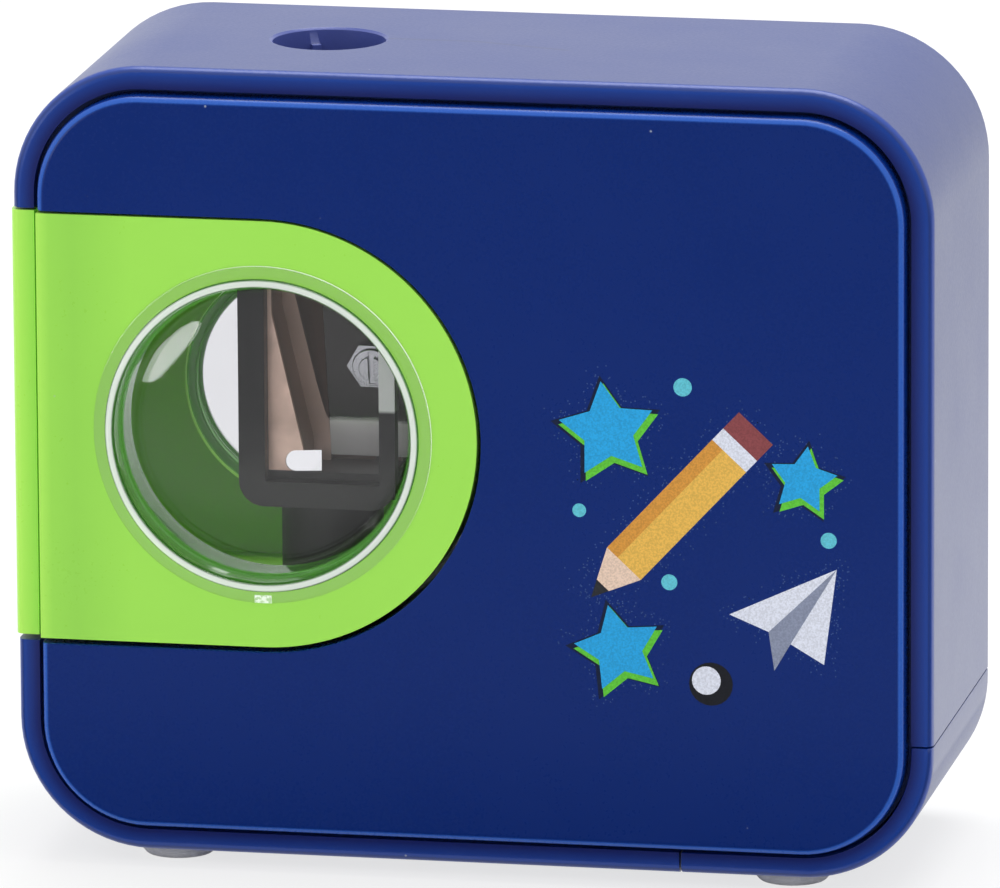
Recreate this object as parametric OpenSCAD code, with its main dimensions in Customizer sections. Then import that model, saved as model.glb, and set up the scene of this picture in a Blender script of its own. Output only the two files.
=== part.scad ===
// Pencil sharpener: a battery-driven box sharpener that stands on four feet.
// X runs left to right, -Y is the front, +Z is up, and z = 0 is the underside of the feet.
// A shavings bin slides out to the left, around a spinning cutter head.

/* [Case] */
// Width of the case
case_w = 80; // [60:0.5:110]
// Height of the case without its feet
case_h = 69; // [50:0.5:100]
// Depth of the case from rim to rim
case_d = 30; // [26:0.5:45]
// Outer corner radius of the case
corner_r = 11.4; // [6:0.1:16]
// Wall thickness of the case band
wall = 1.9; // [1.5:0.1:3]
// Rounding of the outer edges
edge_r = 0.8; // [0.3:0.1:1.2]
// How far the front and rear panels stand proud of the rims
panel_rise = 1.2; // [0.4:0.1:2.5]
// Width of the groove between a rim and its panel
groove = 0.4; // [0.2:0.05:0.8]
// Thickness of the front and rear covers
cover_t = 1.8; // [1.4:0.1:3]
// Height of the feet
foot_h = 1.2; // [0.6:0.1:4]
// Diameter of the feet
foot_d = 6.6; // [4:0.1:10]

/* [Shavings bin] */
// Distance from the case centre to the bin and window centre
bin_x = -18; // [-24:0.1:-10]
// Height of the bin centre above the case underside
bin_z = 37.5; // [30:0.1:45]
// Radius of the round end of the bin, which is half its height
bin_r = 18.7; // [14:0.1:24]
// Gap around the bin
bin_gap = 0.35; // [0.2:0.05:0.8]
// Thickness of the bin walls
bin_t = 1.4; // [1:0.1:2.5]
// Outer radius of the window flange
window_r = 14.8; // [10:0.1:18]
// Radius of the clear pane
pane_r = 12.9; // [8:0.1:16]
// Radius of the smaller rear pane
rear_pane_r = 9.9; // [6:0.1:14]
// Rise of the domed pane
pane_rise = 2.2; // [0.5:0.1:4]
// Thickness of the pane
pane_t = 1; // [0.6:0.1:2]
// Depth of the clear collar behind the window flange
collar_l = 5.8; // [2:0.1:6]

/* [Pencil entry] */
// Distance from the case centre to the pencil axis
pencil_x = -15.3; // [-20:0.1:-10]
// Diameter of the recess in the top of the case
recess_d = 9.8; // [8.5:0.1:14]
// Diameter of the pencil passage
passage_d = 8.2; // [7.6:0.1:11]

/* [Cutter] */
// Width of the cutter cradle
cradle_w = 13.7; // [11:0.1:16]
// Depth of the cutter cradle
cradle_d = 13; // [11:0.1:14]
// Height of the cradle underside above the case underside
cradle_z = 29; // [24:0.1:32]
// Height of the cradle floor
cradle_floor = 2.2; // [1.5:0.1:4]
// Height of the seat that carries the block above the cradle floor
seat_h = 0.7; // [0.3:0.1:1.5]
// Height of the sharpener block
block_h = 20.1; // [16:0.1:24]
// Half angle of the cutting cone
cone_angle = 13; // [10:0.5:16]
// Thickness of the blade
blade_t = 0.6; // [0.4:0.1:1]
// Width of the blade
blade_w = 7.2; // [5:0.1:9]
// Diameter of the post under the cradle
post_d = 8.8; // [6:0.1:11]

/* [Drive] */
// Gear module
gear_m = 0.5; // [0.4:0.05:0.8]
// Teeth of the motor pinion
teeth_pinion = 10; // [8:1:14]
// Teeth of the large idler wheel
teeth_big = 40; // [30:1:50]
// Teeth of the small idler wheel
teeth_small = 12; // [10:1:16]
// Teeth of the output gear
teeth_out = 41; // [30:1:50]
// Play between mating teeth
backlash = 0.1; // [0.04:0.01:0.2]
// Radial play of the parts that turn or slide on pins
play = 0.05; // [0.02:0.01:0.1]

/* [Battery] */
// Diameter of one cell
cell_d = 10.5; // [10:0.1:15]
// Length of one cell with its button
cell_l = 44.5; // [40:0.5:52]
// Length of the door along the underside
door_w = 21.9; // [18:0.1:30]
// Height of the door up the right side
door_h = 12; // [8:0.1:20]
// Seam around the door
seam = 0.15; // [0.1:0.05:0.4]

/* [Hidden] */
$fn = 96;
eps = 0.02;
half_w = case_w / 2;
half_d = case_d / 2;
panel_y = half_d + panel_rise;
cover_in = panel_y - cover_t;
ledge_out = 13.6;
ledge_in = 12;
ledge_w = 1.4;
inner_x = half_w - wall;
bin_hole_r = bin_r + bin_gap;
bin_hole_z = bin_z - 0.15;
frame_t = 1.2;
frame_r = bin_hole_r + frame_t;
frame_left = -35.5;
roof_top = bin_hole_z + frame_r;
rear_x = bin_x - 2.6;
rear_z = bin_z - 1.9;
block_z = cradle_z + cradle_floor + seat_h;
apex_z = block_z + 1;
passage_r = passage_d / 2;
cone_top = apex_z + passage_r / tan(cone_angle);
block_y = 5;
screw_along = [4.2, 8.4];
spindle_r = 2.7;
idler_x = pencil_x + gear_m * (teeth_small + teeth_out) / 2;
motor_x = idler_x + gear_m * (teeth_pinion + teeth_big) / 2;
plate_z = 3.2;
plate_t = 1.2;
low_gear_z = 8.2;
low_gear_t = 3;
high_gear_z = 12.3;
high_gear_t = 3;
shelf_z = 16.6;
shelf_t = 1.2;
motor_z = shelf_z + shelf_t;
motor_l = 25;
motor_w = 20;
motor_flat = 15;
cell_x = inner_x - cell_d / 2 - 3.55;
cell_y = 5.9;
cell_z = 7;
door_x = half_w - door_w;
screw_low_x = 14.6;
screw_low_z = 6.2;
screw_x = half_w - 9;
screw_top_z = case_h - 7.6;
foot_x = half_w - 13;
foot_y = half_d - 5;
bay_left = cell_x - cell_d / 2 - 5.05;
bay_top = cell_z + cell_l + 3.7;
bay_t = 1.2;
screw_bottom_z = 7.4;

case_band();
front_cover();
rear_cover();
case_screws();
left_feet();
chamber_frame();
gear_plate();
plate_screws();
pencil_bush();
idler_pin();
motor_can();
motor_endcap();
motor_terminals();
battery_frame();
front_cell();
rear_cell();
plus_terminal();
minus_terminal();
minus_spring();
upper_leaf();
lower_leaf();
press_spring();
bin_shell();
front_window();
rear_window();
thrust_pin();
cutter_cradle();
sharpener_block();
blade();
blade_screw();
output_gear();
motor_shaft();
motor_pinion();
idler_gear();
battery_door();
right_feet();
contact_bridge();
bridge_spring();

// ---- shared shapes ----

// Everything above the feet is drawn from the underside of the case.
module lift() {
    translate([0, 0, foot_h]) children();
}

// Turns a drawing in X and Z into a body that grows towards the front.
module upright() {
    rotate([90, 0, 0]) children();
}

module span(w, h, d) {
    translate([-w / 2, -d / 2, 0]) cube([w, d, h]);
}

// Box between two corners.
module block_between(a, b) {
    translate(a) cube(b - a);
}

module rounded(w, h, r) {
    square([w - 2 * r, h], center = true);
    square([w, h - 2 * r], center = true);
    for (sx = [-1, 1], sy = [-1, 1])
        translate([sx * (w / 2 - r), sy * (h / 2 - r)]) circle(r);
}

// Half profile of a slab whose top edge is rounded in four flats.
module soft_profile(x, t, e) {
    edge = [for (a = [0 : 22.5 : 90]) [x - e + e * cos(a), t - e + e * sin(a)]];
    polygon(concat([[0, 0], [x, 0]], edge, [[0, t]]));
}

// Slab with a rounded top edge.
module soft_slab(w, h, r, t, e) {
    for (turn = [0, 180]) rotate([0, 0, turn]) {
        translate([0, h / 2 - r, 0]) rotate([90, 0, 0])
            linear_extrude(h - 2 * r) soft_profile(w / 2, t, e);
        translate([r - w / 2, 0, 0]) rotate([90, 0, 90])
            linear_extrude(w - 2 * r) soft_profile(h / 2, t, e);
    }
    for (sx = [-1, 1], sy = [-1, 1]) translate([sx * (w / 2 - r), sy * (h / 2 - r), 0])
        rotate_extrude() soft_profile(r, t, e);
}

// Outline of the bin: a straight left end and a round right end.
module bin_outline(r, left) {
    circle(r);
    translate([left, -r]) square([-left, 2 * r]);
}

// The bin opening through the case, as wide as the depth given.
module bin_opening(depth) {
    translate([bin_x, depth / 2, bin_hole_z]) upright()
        linear_extrude(depth) bin_outline(bin_hole_r, -half_w - bin_x - 1);
}

// ---- case ----

module band_outer() {
    for (s = [0, 1]) mirror([0, s, 0])
        translate([0, 0, case_h / 2]) upright()
            soft_slab(case_w, case_h, corner_r, half_d, edge_r);
}

module ring(outer, inner, from, to) {
    translate([0, -from, case_h / 2]) upright() linear_extrude(to - from) difference() {
        rounded(case_w - 2 * outer, case_h - 2 * outer, corner_r - outer);
        rounded(case_w - 2 * inner, case_h - 2 * inner, corner_r - inner);
    }
}

module door_zone(grow) {
    block_between([door_x - grow, -half_d - 1, -1], [half_w + 1, half_d + 1, door_h + grow]);
}

module case_band() color("royalblue") lift() {
    difference() {
        union() {
            difference() {
                band_outer();
                translate([0, half_d + 1, case_h / 2]) upright() linear_extrude(case_d + 2)
                    rounded(case_w - 2 * wall, case_h - 2 * wall, corner_r - wall);
                door_zone(seam);
            }
            for (s = [0, 1]) mirror([0, s, 0]) ledge();
            translate([pencil_x, 0, case_h - 9]) cylinder(r = recess_d / 2 + 1.3, h = 9 - wall / 2);
        }
        bin_opening(case_d + 2);
        translate([pencil_x, 0, case_h - 12]) cylinder(r = recess_d / 2, h = 14);
        translate([pencil_x, 0, case_h - 0.2])
            cylinder(r1 = recess_d / 2, r2 = recess_d / 2 + 0.3, h = 0.3);
    }
    pencil_guides();
}

// Rib on which a cover rests. Across the door it is set back and notched for the door hooks.
module ledge() {
    difference() {
        ring(wall - eps, wall + ledge_w, ledge_in, ledge_out);
        door_zone(seam);
    }
    difference() {
        intersection() {
            ring(wall + 0.1, wall + ledge_w, ledge_in, ledge_out);
            block_between([door_x - 3, -ledge_out, 0], [half_w, -ledge_in, door_h + 3]);
        }
        block_between([door_x - 1, -ledge_out + 0.7, 3.35], [half_w, -ledge_in + 1, 4.45]);
    }
}

// Thin ribs inside the pencil recess.
module pencil_guides() {
    for (a = [26 : 90 : 296]) translate([pencil_x, 0, case_h - 9]) rotate([0, 0, a])
        translate([passage_r + 0.15, -0.4, 0]) cube([0.9, 0.8, 7.6]);
}

module cover_plate() {
    w = case_w - 2 * (wall + groove);
    h = case_h - 2 * (wall + groove);
    r = corner_r - wall - groove;
    difference() {
        translate([0, -ledge_out, case_h / 2]) upright() soft_slab(w, h, r, panel_y - ledge_out, edge_r);
        translate([0, -ledge_out + 1, case_h / 2]) upright()
            linear_extrude(cover_in - ledge_out + 1) rounded(w - 4, h - 4, r - 2);
        bin_opening(2 * panel_y + 2);
    }
}

module screw_places() {
    for (p = [[-screw_x, screw_top_z], [screw_x, screw_top_z], [-screw_x, screw_bottom_z],
        [screw_low_x, screw_low_z]]) translate([p[0], 0, p[1]]) children();
}

module front_cover() color("mediumblue") lift() {
    cover_plate();
    screw_places() difference() {
        translate([0, -cover_in - 0.3, 0]) rotate([-90, 0, 0]) cylinder(r = 2.6, h = cover_in + 2.3);
        translate([0, -8, 0]) rotate([-90, 0, 0]) cylinder(r = 0.9, h = 14);
    }
}

module rear_cover() color("mediumblue") lift() difference() {
    union() {
        mirror([0, 1, 0]) cover_plate();
        screw_places() translate([0, 2, 0]) rotate([-90, 0, 0]) cylinder(r = 2.6, h = cover_in - 1.7);
    }
    screw_places() {
        translate([0, 1, 0]) rotate([-90, 0, 0]) cylinder(r = 1.2, h = 20);
        translate([0, 5.3, 0]) rotate([-90, 0, 0]) cylinder(r = 2.1, h = 14);
    }
}

module case_screws() color("silver") lift() screw_places() difference() {
    union() {
        translate([0, 5.3, 0]) rotate([-90, 0, 0]) cylinder(r = 1.9, h = 1.6);
        translate([0, -7, 0]) rotate([-90, 0, 0]) cylinder(r = 0.9, h = 13);
        translate([0, 2.1, 0]) rotate([-90, 0, 0]) cylinder(r = 1.1, h = 4);
    }
    for (a = [0, 90]) rotate([0, a, 0]) translate([-1.2, 6.1, -0.25]) cube([2.4, 2, 0.5]);
}

module foot_pair(x) color("silver") for (s = [-1, 1]) translate([x, s * foot_y, 0]) {
    cylinder(r1 = foot_d / 2 - 0.4, r2 = foot_d / 2, h = 0.5);
    translate([0, 0, 0.5]) cylinder(r = foot_d / 2, h = foot_h - 0.5);
}

module left_feet() foot_pair(-foot_x);

module right_feet() foot_pair(foot_x);

module pencil_bush() color("dimgray") lift() difference() {
    union() {
        translate([pencil_x, 0, bin_hole_z + bin_hole_r - 2.6])
            cylinder(r = passage_r + 0.9, h = 6);
        translate([pencil_x, 0, roof_top]) cylinder(r = passage_r + 2.3, h = case_h - 9 - roof_top);
    }
    translate([pencil_x, 0, 40]) cylinder(r = passage_r, h = 30);
}

// ---- inner frame and drive ----

module chamber_frame() color("dimgray") lift() difference() {
    union() {
        difference() {
            translate([bin_x, cover_in, bin_hole_z]) upright()
                linear_extrude(2 * cover_in) bin_outline(frame_r, frame_left - bin_x);
            bin_opening(2 * cover_in + 2);
        }
        block_between([bin_x, -cover_in, shelf_z], [18.4, cover_in, shelf_z + shelf_t]);
        for (s = [-1, 1]) translate([motor_x, s * (motor_w / 2 + 0.7), motor_z - eps])
            span(8, 12, 1.2);
        for (p = plate_posts()) translate([p[0], p[1], plate_z + plate_t])
            cylinder(r = 2, h = shelf_z + 0.9 - plate_z - plate_t);
    }
    translate([pencil_x, 0, 40]) cylinder(r = passage_r + 0.9 + play, h = 30);
    translate([pencil_x, 0, 10]) cylinder(r = post_d / 2 + 2 * play, h = 12);
    translate([idler_x, 0, 10]) cylinder(r = 1, h = 7.7);
    translate([motor_x, 0, 10]) cylinder(r = 3.1, h = 12);
    for (p = plate_posts()) translate([p[0], p[1], 2]) cylinder(r = 0.8, h = 10);
}

function plate_posts() = [[-26.2, 9.5], [-26.2, -9.5], [9, 9.5], [9, -9.5]];

module gear_plate() color("gray") lift() difference() {
    union() {
        block_between([-30, -12, plate_z], [12, 12, plate_z + plate_t]);
        translate([idler_x, 0, plate_z]) cylinder(r = 2.2, h = 2.6);
    }
    translate([pencil_x, 0, 0]) cylinder(r = 1.5 + play, h = 10);
    translate([idler_x, 0, 0]) cylinder(r = 1, h = 10);
    for (p = plate_posts()) translate([p[0], p[1], 0]) cylinder(r = 1.1, h = 10);
    for (p = [[-screw_x, screw_bottom_z], [screw_low_x, screw_low_z]])
        translate([p[0], 20, p[1]]) rotate([90, 0, 0]) cylinder(r = 2.8, h = 40);
}

module plate_screws() color("silver") lift() for (p = plate_posts()) translate([p[0], p[1], 0]) {
    difference() {
        translate([0, 0, plate_z - 1]) cylinder(r = 1.8, h = 1);
        for (a = [0, 90]) rotate([0, 0, a]) translate([-1.1, -0.2, plate_z - 2]) cube([2.2, 0.4, 1.5]);
    }
    translate([0, 0, plate_z - eps]) cylinder(r = 0.8, h = 7);
}

module idler_pin() color("silver") lift()
    translate([idler_x, 0, plate_z]) cylinder(r = 1, h = 14.4);

function inv(a) = tan(a) * 180 / PI - a;

// Involute gear in the plane. The shift is the profile shift in modules.
module gear_outline(teeth, shift) {
    base_r = gear_m * teeth / 2 * cos(20);
    tip_r = gear_m * (teeth / 2 + 1 + shift);
    root_r = gear_m * (teeth / 2 - 1.25 + shift);
    pitch_r = gear_m * teeth / 2;
    start_r = max(base_r, root_r);
    half_t = 90 / teeth + (2 * shift * gear_m * tan(20) - backlash / 2) / pitch_r * 90 / PI;
    steps = 6;
    radii = [for (i = [0 : steps]) start_r + (tip_r - start_r) * i / steps];
    angles = [for (r = radii) half_t + inv(20) - inv(acos(min(1, base_r / r)))];
    flank = [for (i = [0 : steps]) radii[i] * [cos(angles[i]), sin(angles[i])]];
    foot = (root_r - 0.2) * [cos(angles[0]), sin(angles[0])];
    mirrored = [for (i = [steps : -1 : 0]) radii[i] * [cos(angles[i]), -sin(angles[i])]];
    circle(root_r);
    for (k = [0 : teeth - 1]) rotate(k * 360 / teeth)
        polygon(concat([foot], flank, mirrored, [[foot[0], -foot[1]]]));
}

module wheel(teeth, shift, t, bore) {
    difference() {
        union() {
            linear_extrude(t) gear_outline(teeth, shift);
            cylinder(r = bore + 0.6, h = t);
        }
        translate([0, 0, -1]) cylinder(r = bore, h = t + 2);
    }
}

module output_gear() color("white") lift() translate([pencil_x, 0, low_gear_z])
    rotate([0, 0, 180 / teeth_out]) difference() {
        wheel(teeth_out, -0.3, low_gear_t, spindle_r);
        translate([0, 0, low_gear_t - 0.8]) difference() {
            cylinder(r = 8.6, h = 2);
            translate([0, 0, -1]) cylinder(r = 5, h = 4);
        }
    }

module idler_gear() color("white") lift() translate([idler_x, 0, 0]) difference() {
    union() {
        translate([0, 0, 7]) linear_extrude(high_gear_z - 7) gear_outline(teeth_small, 0.3);
        translate([0, 0, high_gear_z]) linear_extrude(high_gear_t) gear_outline(teeth_big, -0.4);
        translate([0, 0, 5.9]) cylinder(r = 1.9, h = 10.4);
    }
    cylinder(r = 1 + play, h = 30);
}

module motor_pinion() color("khaki") lift() translate([motor_x, 0, high_gear_z - 0.1])
    rotate([0, 0, 180 / teeth_pinion]) wheel(teeth_pinion, 0.4, high_gear_t + 0.3, 1);

module motor_shaft() color("silver") lift()
    translate([motor_x, 0, high_gear_z - 0.4]) cylinder(r = 1, h = motor_z + 5 - high_gear_z);

module motor_body(h) {
    intersection() {
        cylinder(r = motor_w / 2, h = h);
        span(motor_flat, h, motor_w + 2);
    }
}

module motor_can() color("gainsboro") lift() difference() {
    translate([motor_x, 0, motor_z]) {
        motor_body(motor_l - 5);
        translate([0, 0, -1.4]) cylinder(r = 3.05, h = 1.5);
    }
    translate([motor_x, 0, motor_z - 3]) cylinder(r = 1 + play, h = 9);
}

module motor_endcap() color("black") lift() translate([motor_x, 0, motor_z + motor_l - 5]) {
    intersection() {
        cylinder(r = motor_w / 2 - 0.4, h = 5);
        span(motor_flat - 0.6, 5, motor_w + 2);
    }
    translate([0, 0, 5 - eps]) cylinder(r = 3, h = 1);
}

module motor_terminals() color("peru") lift() for (s = [-1, 1])
    translate([motor_x - 1, s * 6 - 0.2, motor_z + motor_l]) difference() {
        cube([2, 0.4, 4]);
        translate([1, 1, 2.8]) rotate([90, 0, 0]) cylinder(r = 0.5, h = 2);
    }

module thrust_pin() color("silver") lift() translate([pencil_x, 0, 0]) {
    translate([0, 0, 4]) cylinder(r = 1.5, h = 9);
    translate([0, 0, 7.3]) cylinder(r = 3, h = 0.7);
}

// Coil spring drawn as half turns, each tilted so that its end meets the next.
module coil(r, wire, h, turns) {
    rise = (h - 2 * wire) / turns / 2;
    tilt = atan(rise / 2 / r);
    for (i = [0 : 2 * turns - 1]) translate([0, 0, wire + (i + 0.5) * rise])
        rotate([0, i % 2 == 0 ? -tilt : tilt, i % 2 * 180]) rotate_extrude(angle = 180)
            translate([r, 0]) circle(wire, $fn = 24);
}

module press_spring() color("silver") lift()
    translate([pencil_x, 0, plate_z + plate_t]) coil(2.3, 0.25, 7.3 - plate_z - plate_t, 2.5);

module upper_leaf() color("goldenrod") lift() {
    block_between([pencil_x - 2, -2, 2.7], [pencil_x + 14, 2, 2.95]);
    block_between([pencil_x + 12, -2, 2.7], [pencil_x + 14, 2, plate_z]);
}

module lower_leaf() color("goldenrod") lift() {
    block_between([pencil_x - 4, -2, wall], [pencil_x + 8, 2, wall + 0.25]);
    translate([pencil_x, 0, wall]) cylinder(r = 0.8, h = 0.5);
}

// ---- cutter head ----

module cutter_cradle() color("dimgray") lift() translate([pencil_x, 0, 0]) {
    w = cradle_w / 2;
    d = cradle_d / 2;
    bar_l = 2.3;
    bar_r = 1.4;
    difference() {
        translate([0, d, cradle_z + 10]) upright() linear_extrude(cradle_d) rounded(cradle_w, 20, 2.2);
        block_between([-w + bar_l, -d - 1, block_z - seat_h], [w + 1, d + 1, cradle_z + 40]);
        block_between([-w - 1, -d - 1, cradle_z + 16], [w + 1, d + 1, cradle_z + 40]);
        dust_ways();
    }
    block_between([-w, -d, cradle_z + 8], [-w + bar_l, d, block_z + block_h - 0.6]);
    for (s = [-1, 1]) difference() {
        block_between([w - bar_r, min(s * d, s * (block_y + 0.1)), cradle_z + 1],
            [w, max(s * d, s * (block_y + 0.1)), block_z + 14]);
        translate([w - bar_r, 0, block_z + 13]) rotate([0, 50, 0]) span(30, 8, 20);
    }
    difference() {
        block_between([-w + 1, -block_y - 0.1, cradle_z + 1], [w - 0.5, block_y + 0.1, block_z]);
        dust_ways();
    }
    difference() {
        union() {
            translate([0, 0, 8]) cylinder(r = spindle_r, h = 10);
            translate([0, 0, 16.4]) cylinder(r = post_d / 2, h = cradle_z - 16.3);
        }
        translate([0, 0, 7]) cylinder(r = 1.5 + play, h = 6.2);
    }
}

// Sloping ways out for dust, through the foot of the block and the cradle floor.
module dust_ways() {
    translate([0, -block_y, block_z]) rotate([-13, 0, 12]) {
        block_between([-2.1, -3, 0.05], [0.1, 14, 1.85]);
        translate([-2.1, 14, 0.95]) rotate([90, 0, 0]) cylinder(r = 0.9, h = 17);
    }
}

module cone_cutout() {
    translate([0, 0, apex_z]) cylinder(r1 = 0.01, r2 = passage_r, h = cone_top - apex_z);
    translate([0, 0, cone_top - 0.01]) cylinder(r = passage_r, h = 20);
}

// Everything in front of the plane that touches the cone along its front line.
module above_blade_plane(gap) {
    translate([0, 0, apex_z]) rotate([cone_angle, 0, 0])
        translate([-20, -20 - gap, -20]) cube([40, 20, 60]);
}

module sharpener_block() color("rosybrown") lift() translate([pencil_x, 0, 0]) difference() {
    block_between([-cradle_w / 2 + 2.3, -block_y, block_z], [6.1, block_y, block_z + block_h]);
    cone_cutout();
    intersection() {
        above_blade_plane(0);
        block_between([0, -20, 0], [20, 20, 80]);
    }
    translate([0, -0.6, block_z]) upright() linear_extrude(10)
        polygon([[0.8, -1], [0.8, 30], [-4.2, 30], [-4.2, 13.7], [-1.5, 1.9], [-1.5, -1]]);
    dust_ways();
    translate([4.9, -block_y, block_z + 0.8]) rotate([-13, 0, 12]) translate([0, -1, 0]) cube([0.9, 14, 1.6]);
    on_blade() translate([screw_along[0], 1, screw_along[1]]) rotate([90, 0, 0])
        cylinder(r = 0.9, h = 6, center = true);
}

// Places parts on the blade plane, with Z running up the cutting edge.
module on_blade() {
    translate([0, 0, apex_z]) rotate([cone_angle, 0, 0]) children();
}

module blade() color("silver") lift() translate([pencil_x, 0, 0]) on_blade() difference() {
    block_between([0, -blade_t, 2.6], [blade_w, 0, 19.2]);
    translate([-0.4, -blade_t - 0.35, 0]) rotate([0, 0, 32]) translate([-2, -2, 0]) cube([2, 4, 22]);
    translate([screw_along[0], 1, screw_along[1]]) rotate([90, 0, 0]) cylinder(r = 1.3, h = 6);
}

module blade_screw() color("gray") lift() translate([pencil_x, 0, 0]) on_blade() {
    translate([screw_along[0], -blade_t, screw_along[1]]) rotate([90, 0, 0]) difference() {
        union() {
            cylinder(r = 2.3, h = 0.5, $fn = 6);
            cylinder(r1 = 1.9, r2 = 1.7, h = 0.8);
            cylinder(r1 = 1.3, r2 = 1.1, h = 1.1);
        }
        translate([0, 0, 0.7]) span(0.5, 1, 3);
    }
    translate([screw_along[0], 2.2, screw_along[1]]) rotate([90, 0, 0]) cylinder(r = 0.9, h = 2.9);
}

// ---- shavings bin ----

module bin_shell() color("yellowgreen") lift() {
    difference() {
        union() {
            for (s = [0, 1]) mirror([0, s, 0]) bin_face();
            bin_left_wall();
            bin_loop();
        }
        bin_pass();
        window_holes();
    }
}

module bin_face() {
    translate([bin_x, -ledge_out - 0.2, bin_z]) upright()
        linear_extrude(panel_y - ledge_out - 0.2) bin_outline(bin_r, -half_w + wall + groove - bin_x);
    translate([bin_x, -ledge_out + 1, bin_z]) upright()
        linear_extrude(1.3) bin_outline(bin_r, -half_w + 1 - bin_x);
}

module bin_left_wall() {
    h = 2 * bin_r;
    block_between([-half_w + 0.4, -half_d + 0.6, bin_z - bin_r], [-half_w + wall, half_d - 0.6, bin_z + bin_r]);
    block_between([-half_w - 0.2, -half_d + 0.7, bin_z - bin_r], [-half_w + 1, half_d - 0.7, bin_z + bin_r]);
    for (s = [-1, 1]) translate([-half_w + 0.6, s * (half_d - 0.8), bin_z]) cylinder(r = 0.8, h = h, center = true);
    block_between([-half_w + 0.6, -half_d, bin_z - bin_r], [-half_w + wall, half_d, bin_z + bin_r]);
}

module bin_loop() {
    translate([bin_x, ledge_out - 0.8, bin_z]) upright() linear_extrude(2 * ledge_out - 1.6) difference() {
        bin_outline(bin_r, -half_w + 1 - bin_x);
        bin_outline(bin_r - bin_t, -half_w + wall - bin_x);
    }
}

// Slot that lets the bin slide out past the cutter head.
module bin_pass() {
    reach = 10;
    block_between([pencil_x - 6, -6, bin_z - bin_r - 1], [bin_x + bin_r + 1, 6, bin_z + bin_r + 1]);
    block_between([bin_x + 2, -reach, bin_z - 30], [bin_x + bin_r + 1, reach, bin_z + 30]);
}

module window_holes() {
    translate([bin_x, -10, bin_z]) upright() cylinder(r = pane_r + 0.65, h = 10);
    translate([rear_x, 20, rear_z]) upright() cylinder(r = rear_pane_r + 0.65, h = 10);
}

// Clear window with a flange, a bead, a collar and a domed pane.
module window(r) {
    top = 0.7;
    ball = (r * r + pane_rise * pane_rise) / 2 / pane_rise;
    upright() difference() {
        union() {
            cylinder(r = r + window_r - pane_r, h = 0.35);
            translate([0, 0, 0.4]) rotate_extrude() translate([r + 0.45, 0]) circle(0.38, $fn = 24);
            translate([0, 0, -collar_l]) cylinder(r = r + 0.6, h = collar_l + 0.1);
        }
        difference() {
            translate([0, 0, top - pane_rise]) cylinder(r = r, h = 6);
            translate([0, 0, top - ball]) sphere(ball);
        }
        intersection() {
            translate([0, 0, -collar_l - 1]) cylinder(r = r - 0.3, h = 12);
            translate([0, 0, top - ball]) sphere(ball - pane_t);
        }
    }
}

module front_window() color("aliceblue") lift() translate([bin_x, -panel_y, bin_z]) window(pane_r);

module rear_window() color("aliceblue") lift()
    translate([rear_x, panel_y, rear_z]) mirror([0, 1, 0]) window(rear_pane_r);

// ---- battery bay ----

module battery_frame() color("dimgray") lift() difference() {
    union() {
        block_between([bay_left, -cover_in, door_h + 0.4], [bay_left + bay_t, cover_in, bay_top + bay_t]);
        block_between([bay_left, -cover_in, bay_top], [cell_x + 6.1, cover_in, bay_top + bay_t]);
        block_between([cell_x + 5.7, -ledge_in + 0.2, bay_top], [inner_x, ledge_in - 0.2, bay_top + bay_t]);
        for (z = [cell_z + 11, bay_top - 13.2])
            block_between([bay_left + 1, -ledge_in + 0.2, z], [inner_x, ledge_in - 0.2, z + bay_t]);
    }
    for (s = [-1, 1]) translate([cell_x, s * cell_y, 10]) cylinder(r = cell_d / 2 + 0.15, h = 40);
    for (s = [-1, 1]) translate([cell_x, s * cell_y, bay_top - 5]) span(1.6, 10, 3);
}

module cell_shape(z, flip) {
    translate([cell_x, 0, z]) mirror([0, 0, flip]) {
        cylinder(r = cell_d / 2, h = cell_l - 1);
        cylinder(r = 1.9, h = cell_l);
    }
}

module front_cell() color("seagreen") lift() translate([0, -cell_y, 0]) cell_shape(cell_z, 0);

module rear_cell() color("seagreen") lift() translate([0, cell_y, 0]) cell_shape(cell_z + cell_l, 1);

module plus_terminal() color("silver") lift() {
    translate([cell_x, -cell_y, cell_z + cell_l]) span(7, 0.4, 7);
    translate([cell_x, -cell_y, cell_z + cell_l]) span(1.4, 7, 0.5);
    translate([cell_x, -cell_y, cell_z + cell_l]) span(3, bay_top - cell_z - cell_l, 3);
}

module minus_terminal() color("silver") lift() {
    translate([cell_x, cell_y, bay_top - 0.4]) span(7, 0.4, 7);
    translate([cell_x, cell_y, bay_top - 0.4]) span(1.4, 3.7, 0.5);
}

module minus_spring() color("silver") lift()
    translate([cell_x, cell_y, cell_z + cell_l]) coil(2.2, 0.25, bay_top - 0.4 - cell_z - cell_l, 3);

module battery_door() color("royalblue") lift() {
    difference() {
        intersection() {
            difference() {
                band_outer();
                translate([0, half_d + 1, case_h / 2]) upright() linear_extrude(case_d + 2)
                    rounded(case_w - 2 * wall, case_h - 2 * wall, corner_r - wall);
            }
            block_between([door_x, -half_d - 1, -1], [half_w + 1, half_d + 1, door_h]);
        }
    }
    block_between([22, -10.4, wall - 0.3], [34, 10.4, 4]);
    for (s = [-1, 1]) {
        block_between([19, min(s * 10.8, s * 11.9), wall - 0.3], [26, max(s * 10.8, s * 11.9), 4.3]);
        block_between([19, min(s * 11.8, s * 12.8), 3.5], [26, max(s * 11.8, s * 12.8), 4.3]);
    }
}

module contact_bridge() color("silver") lift() {
    block_between([24.4, -9.6, 4], [34, 9.6, 4.4]);
    translate([cell_x, cell_y, 4.3]) cylinder(r = 2, h = cell_z - 4.3);
}

module bridge_spring() color("silver") lift()
    translate([cell_x, -cell_y, 4.4]) coil(2.2, 0.25, cell_z - 4.4, 2.5);
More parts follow.
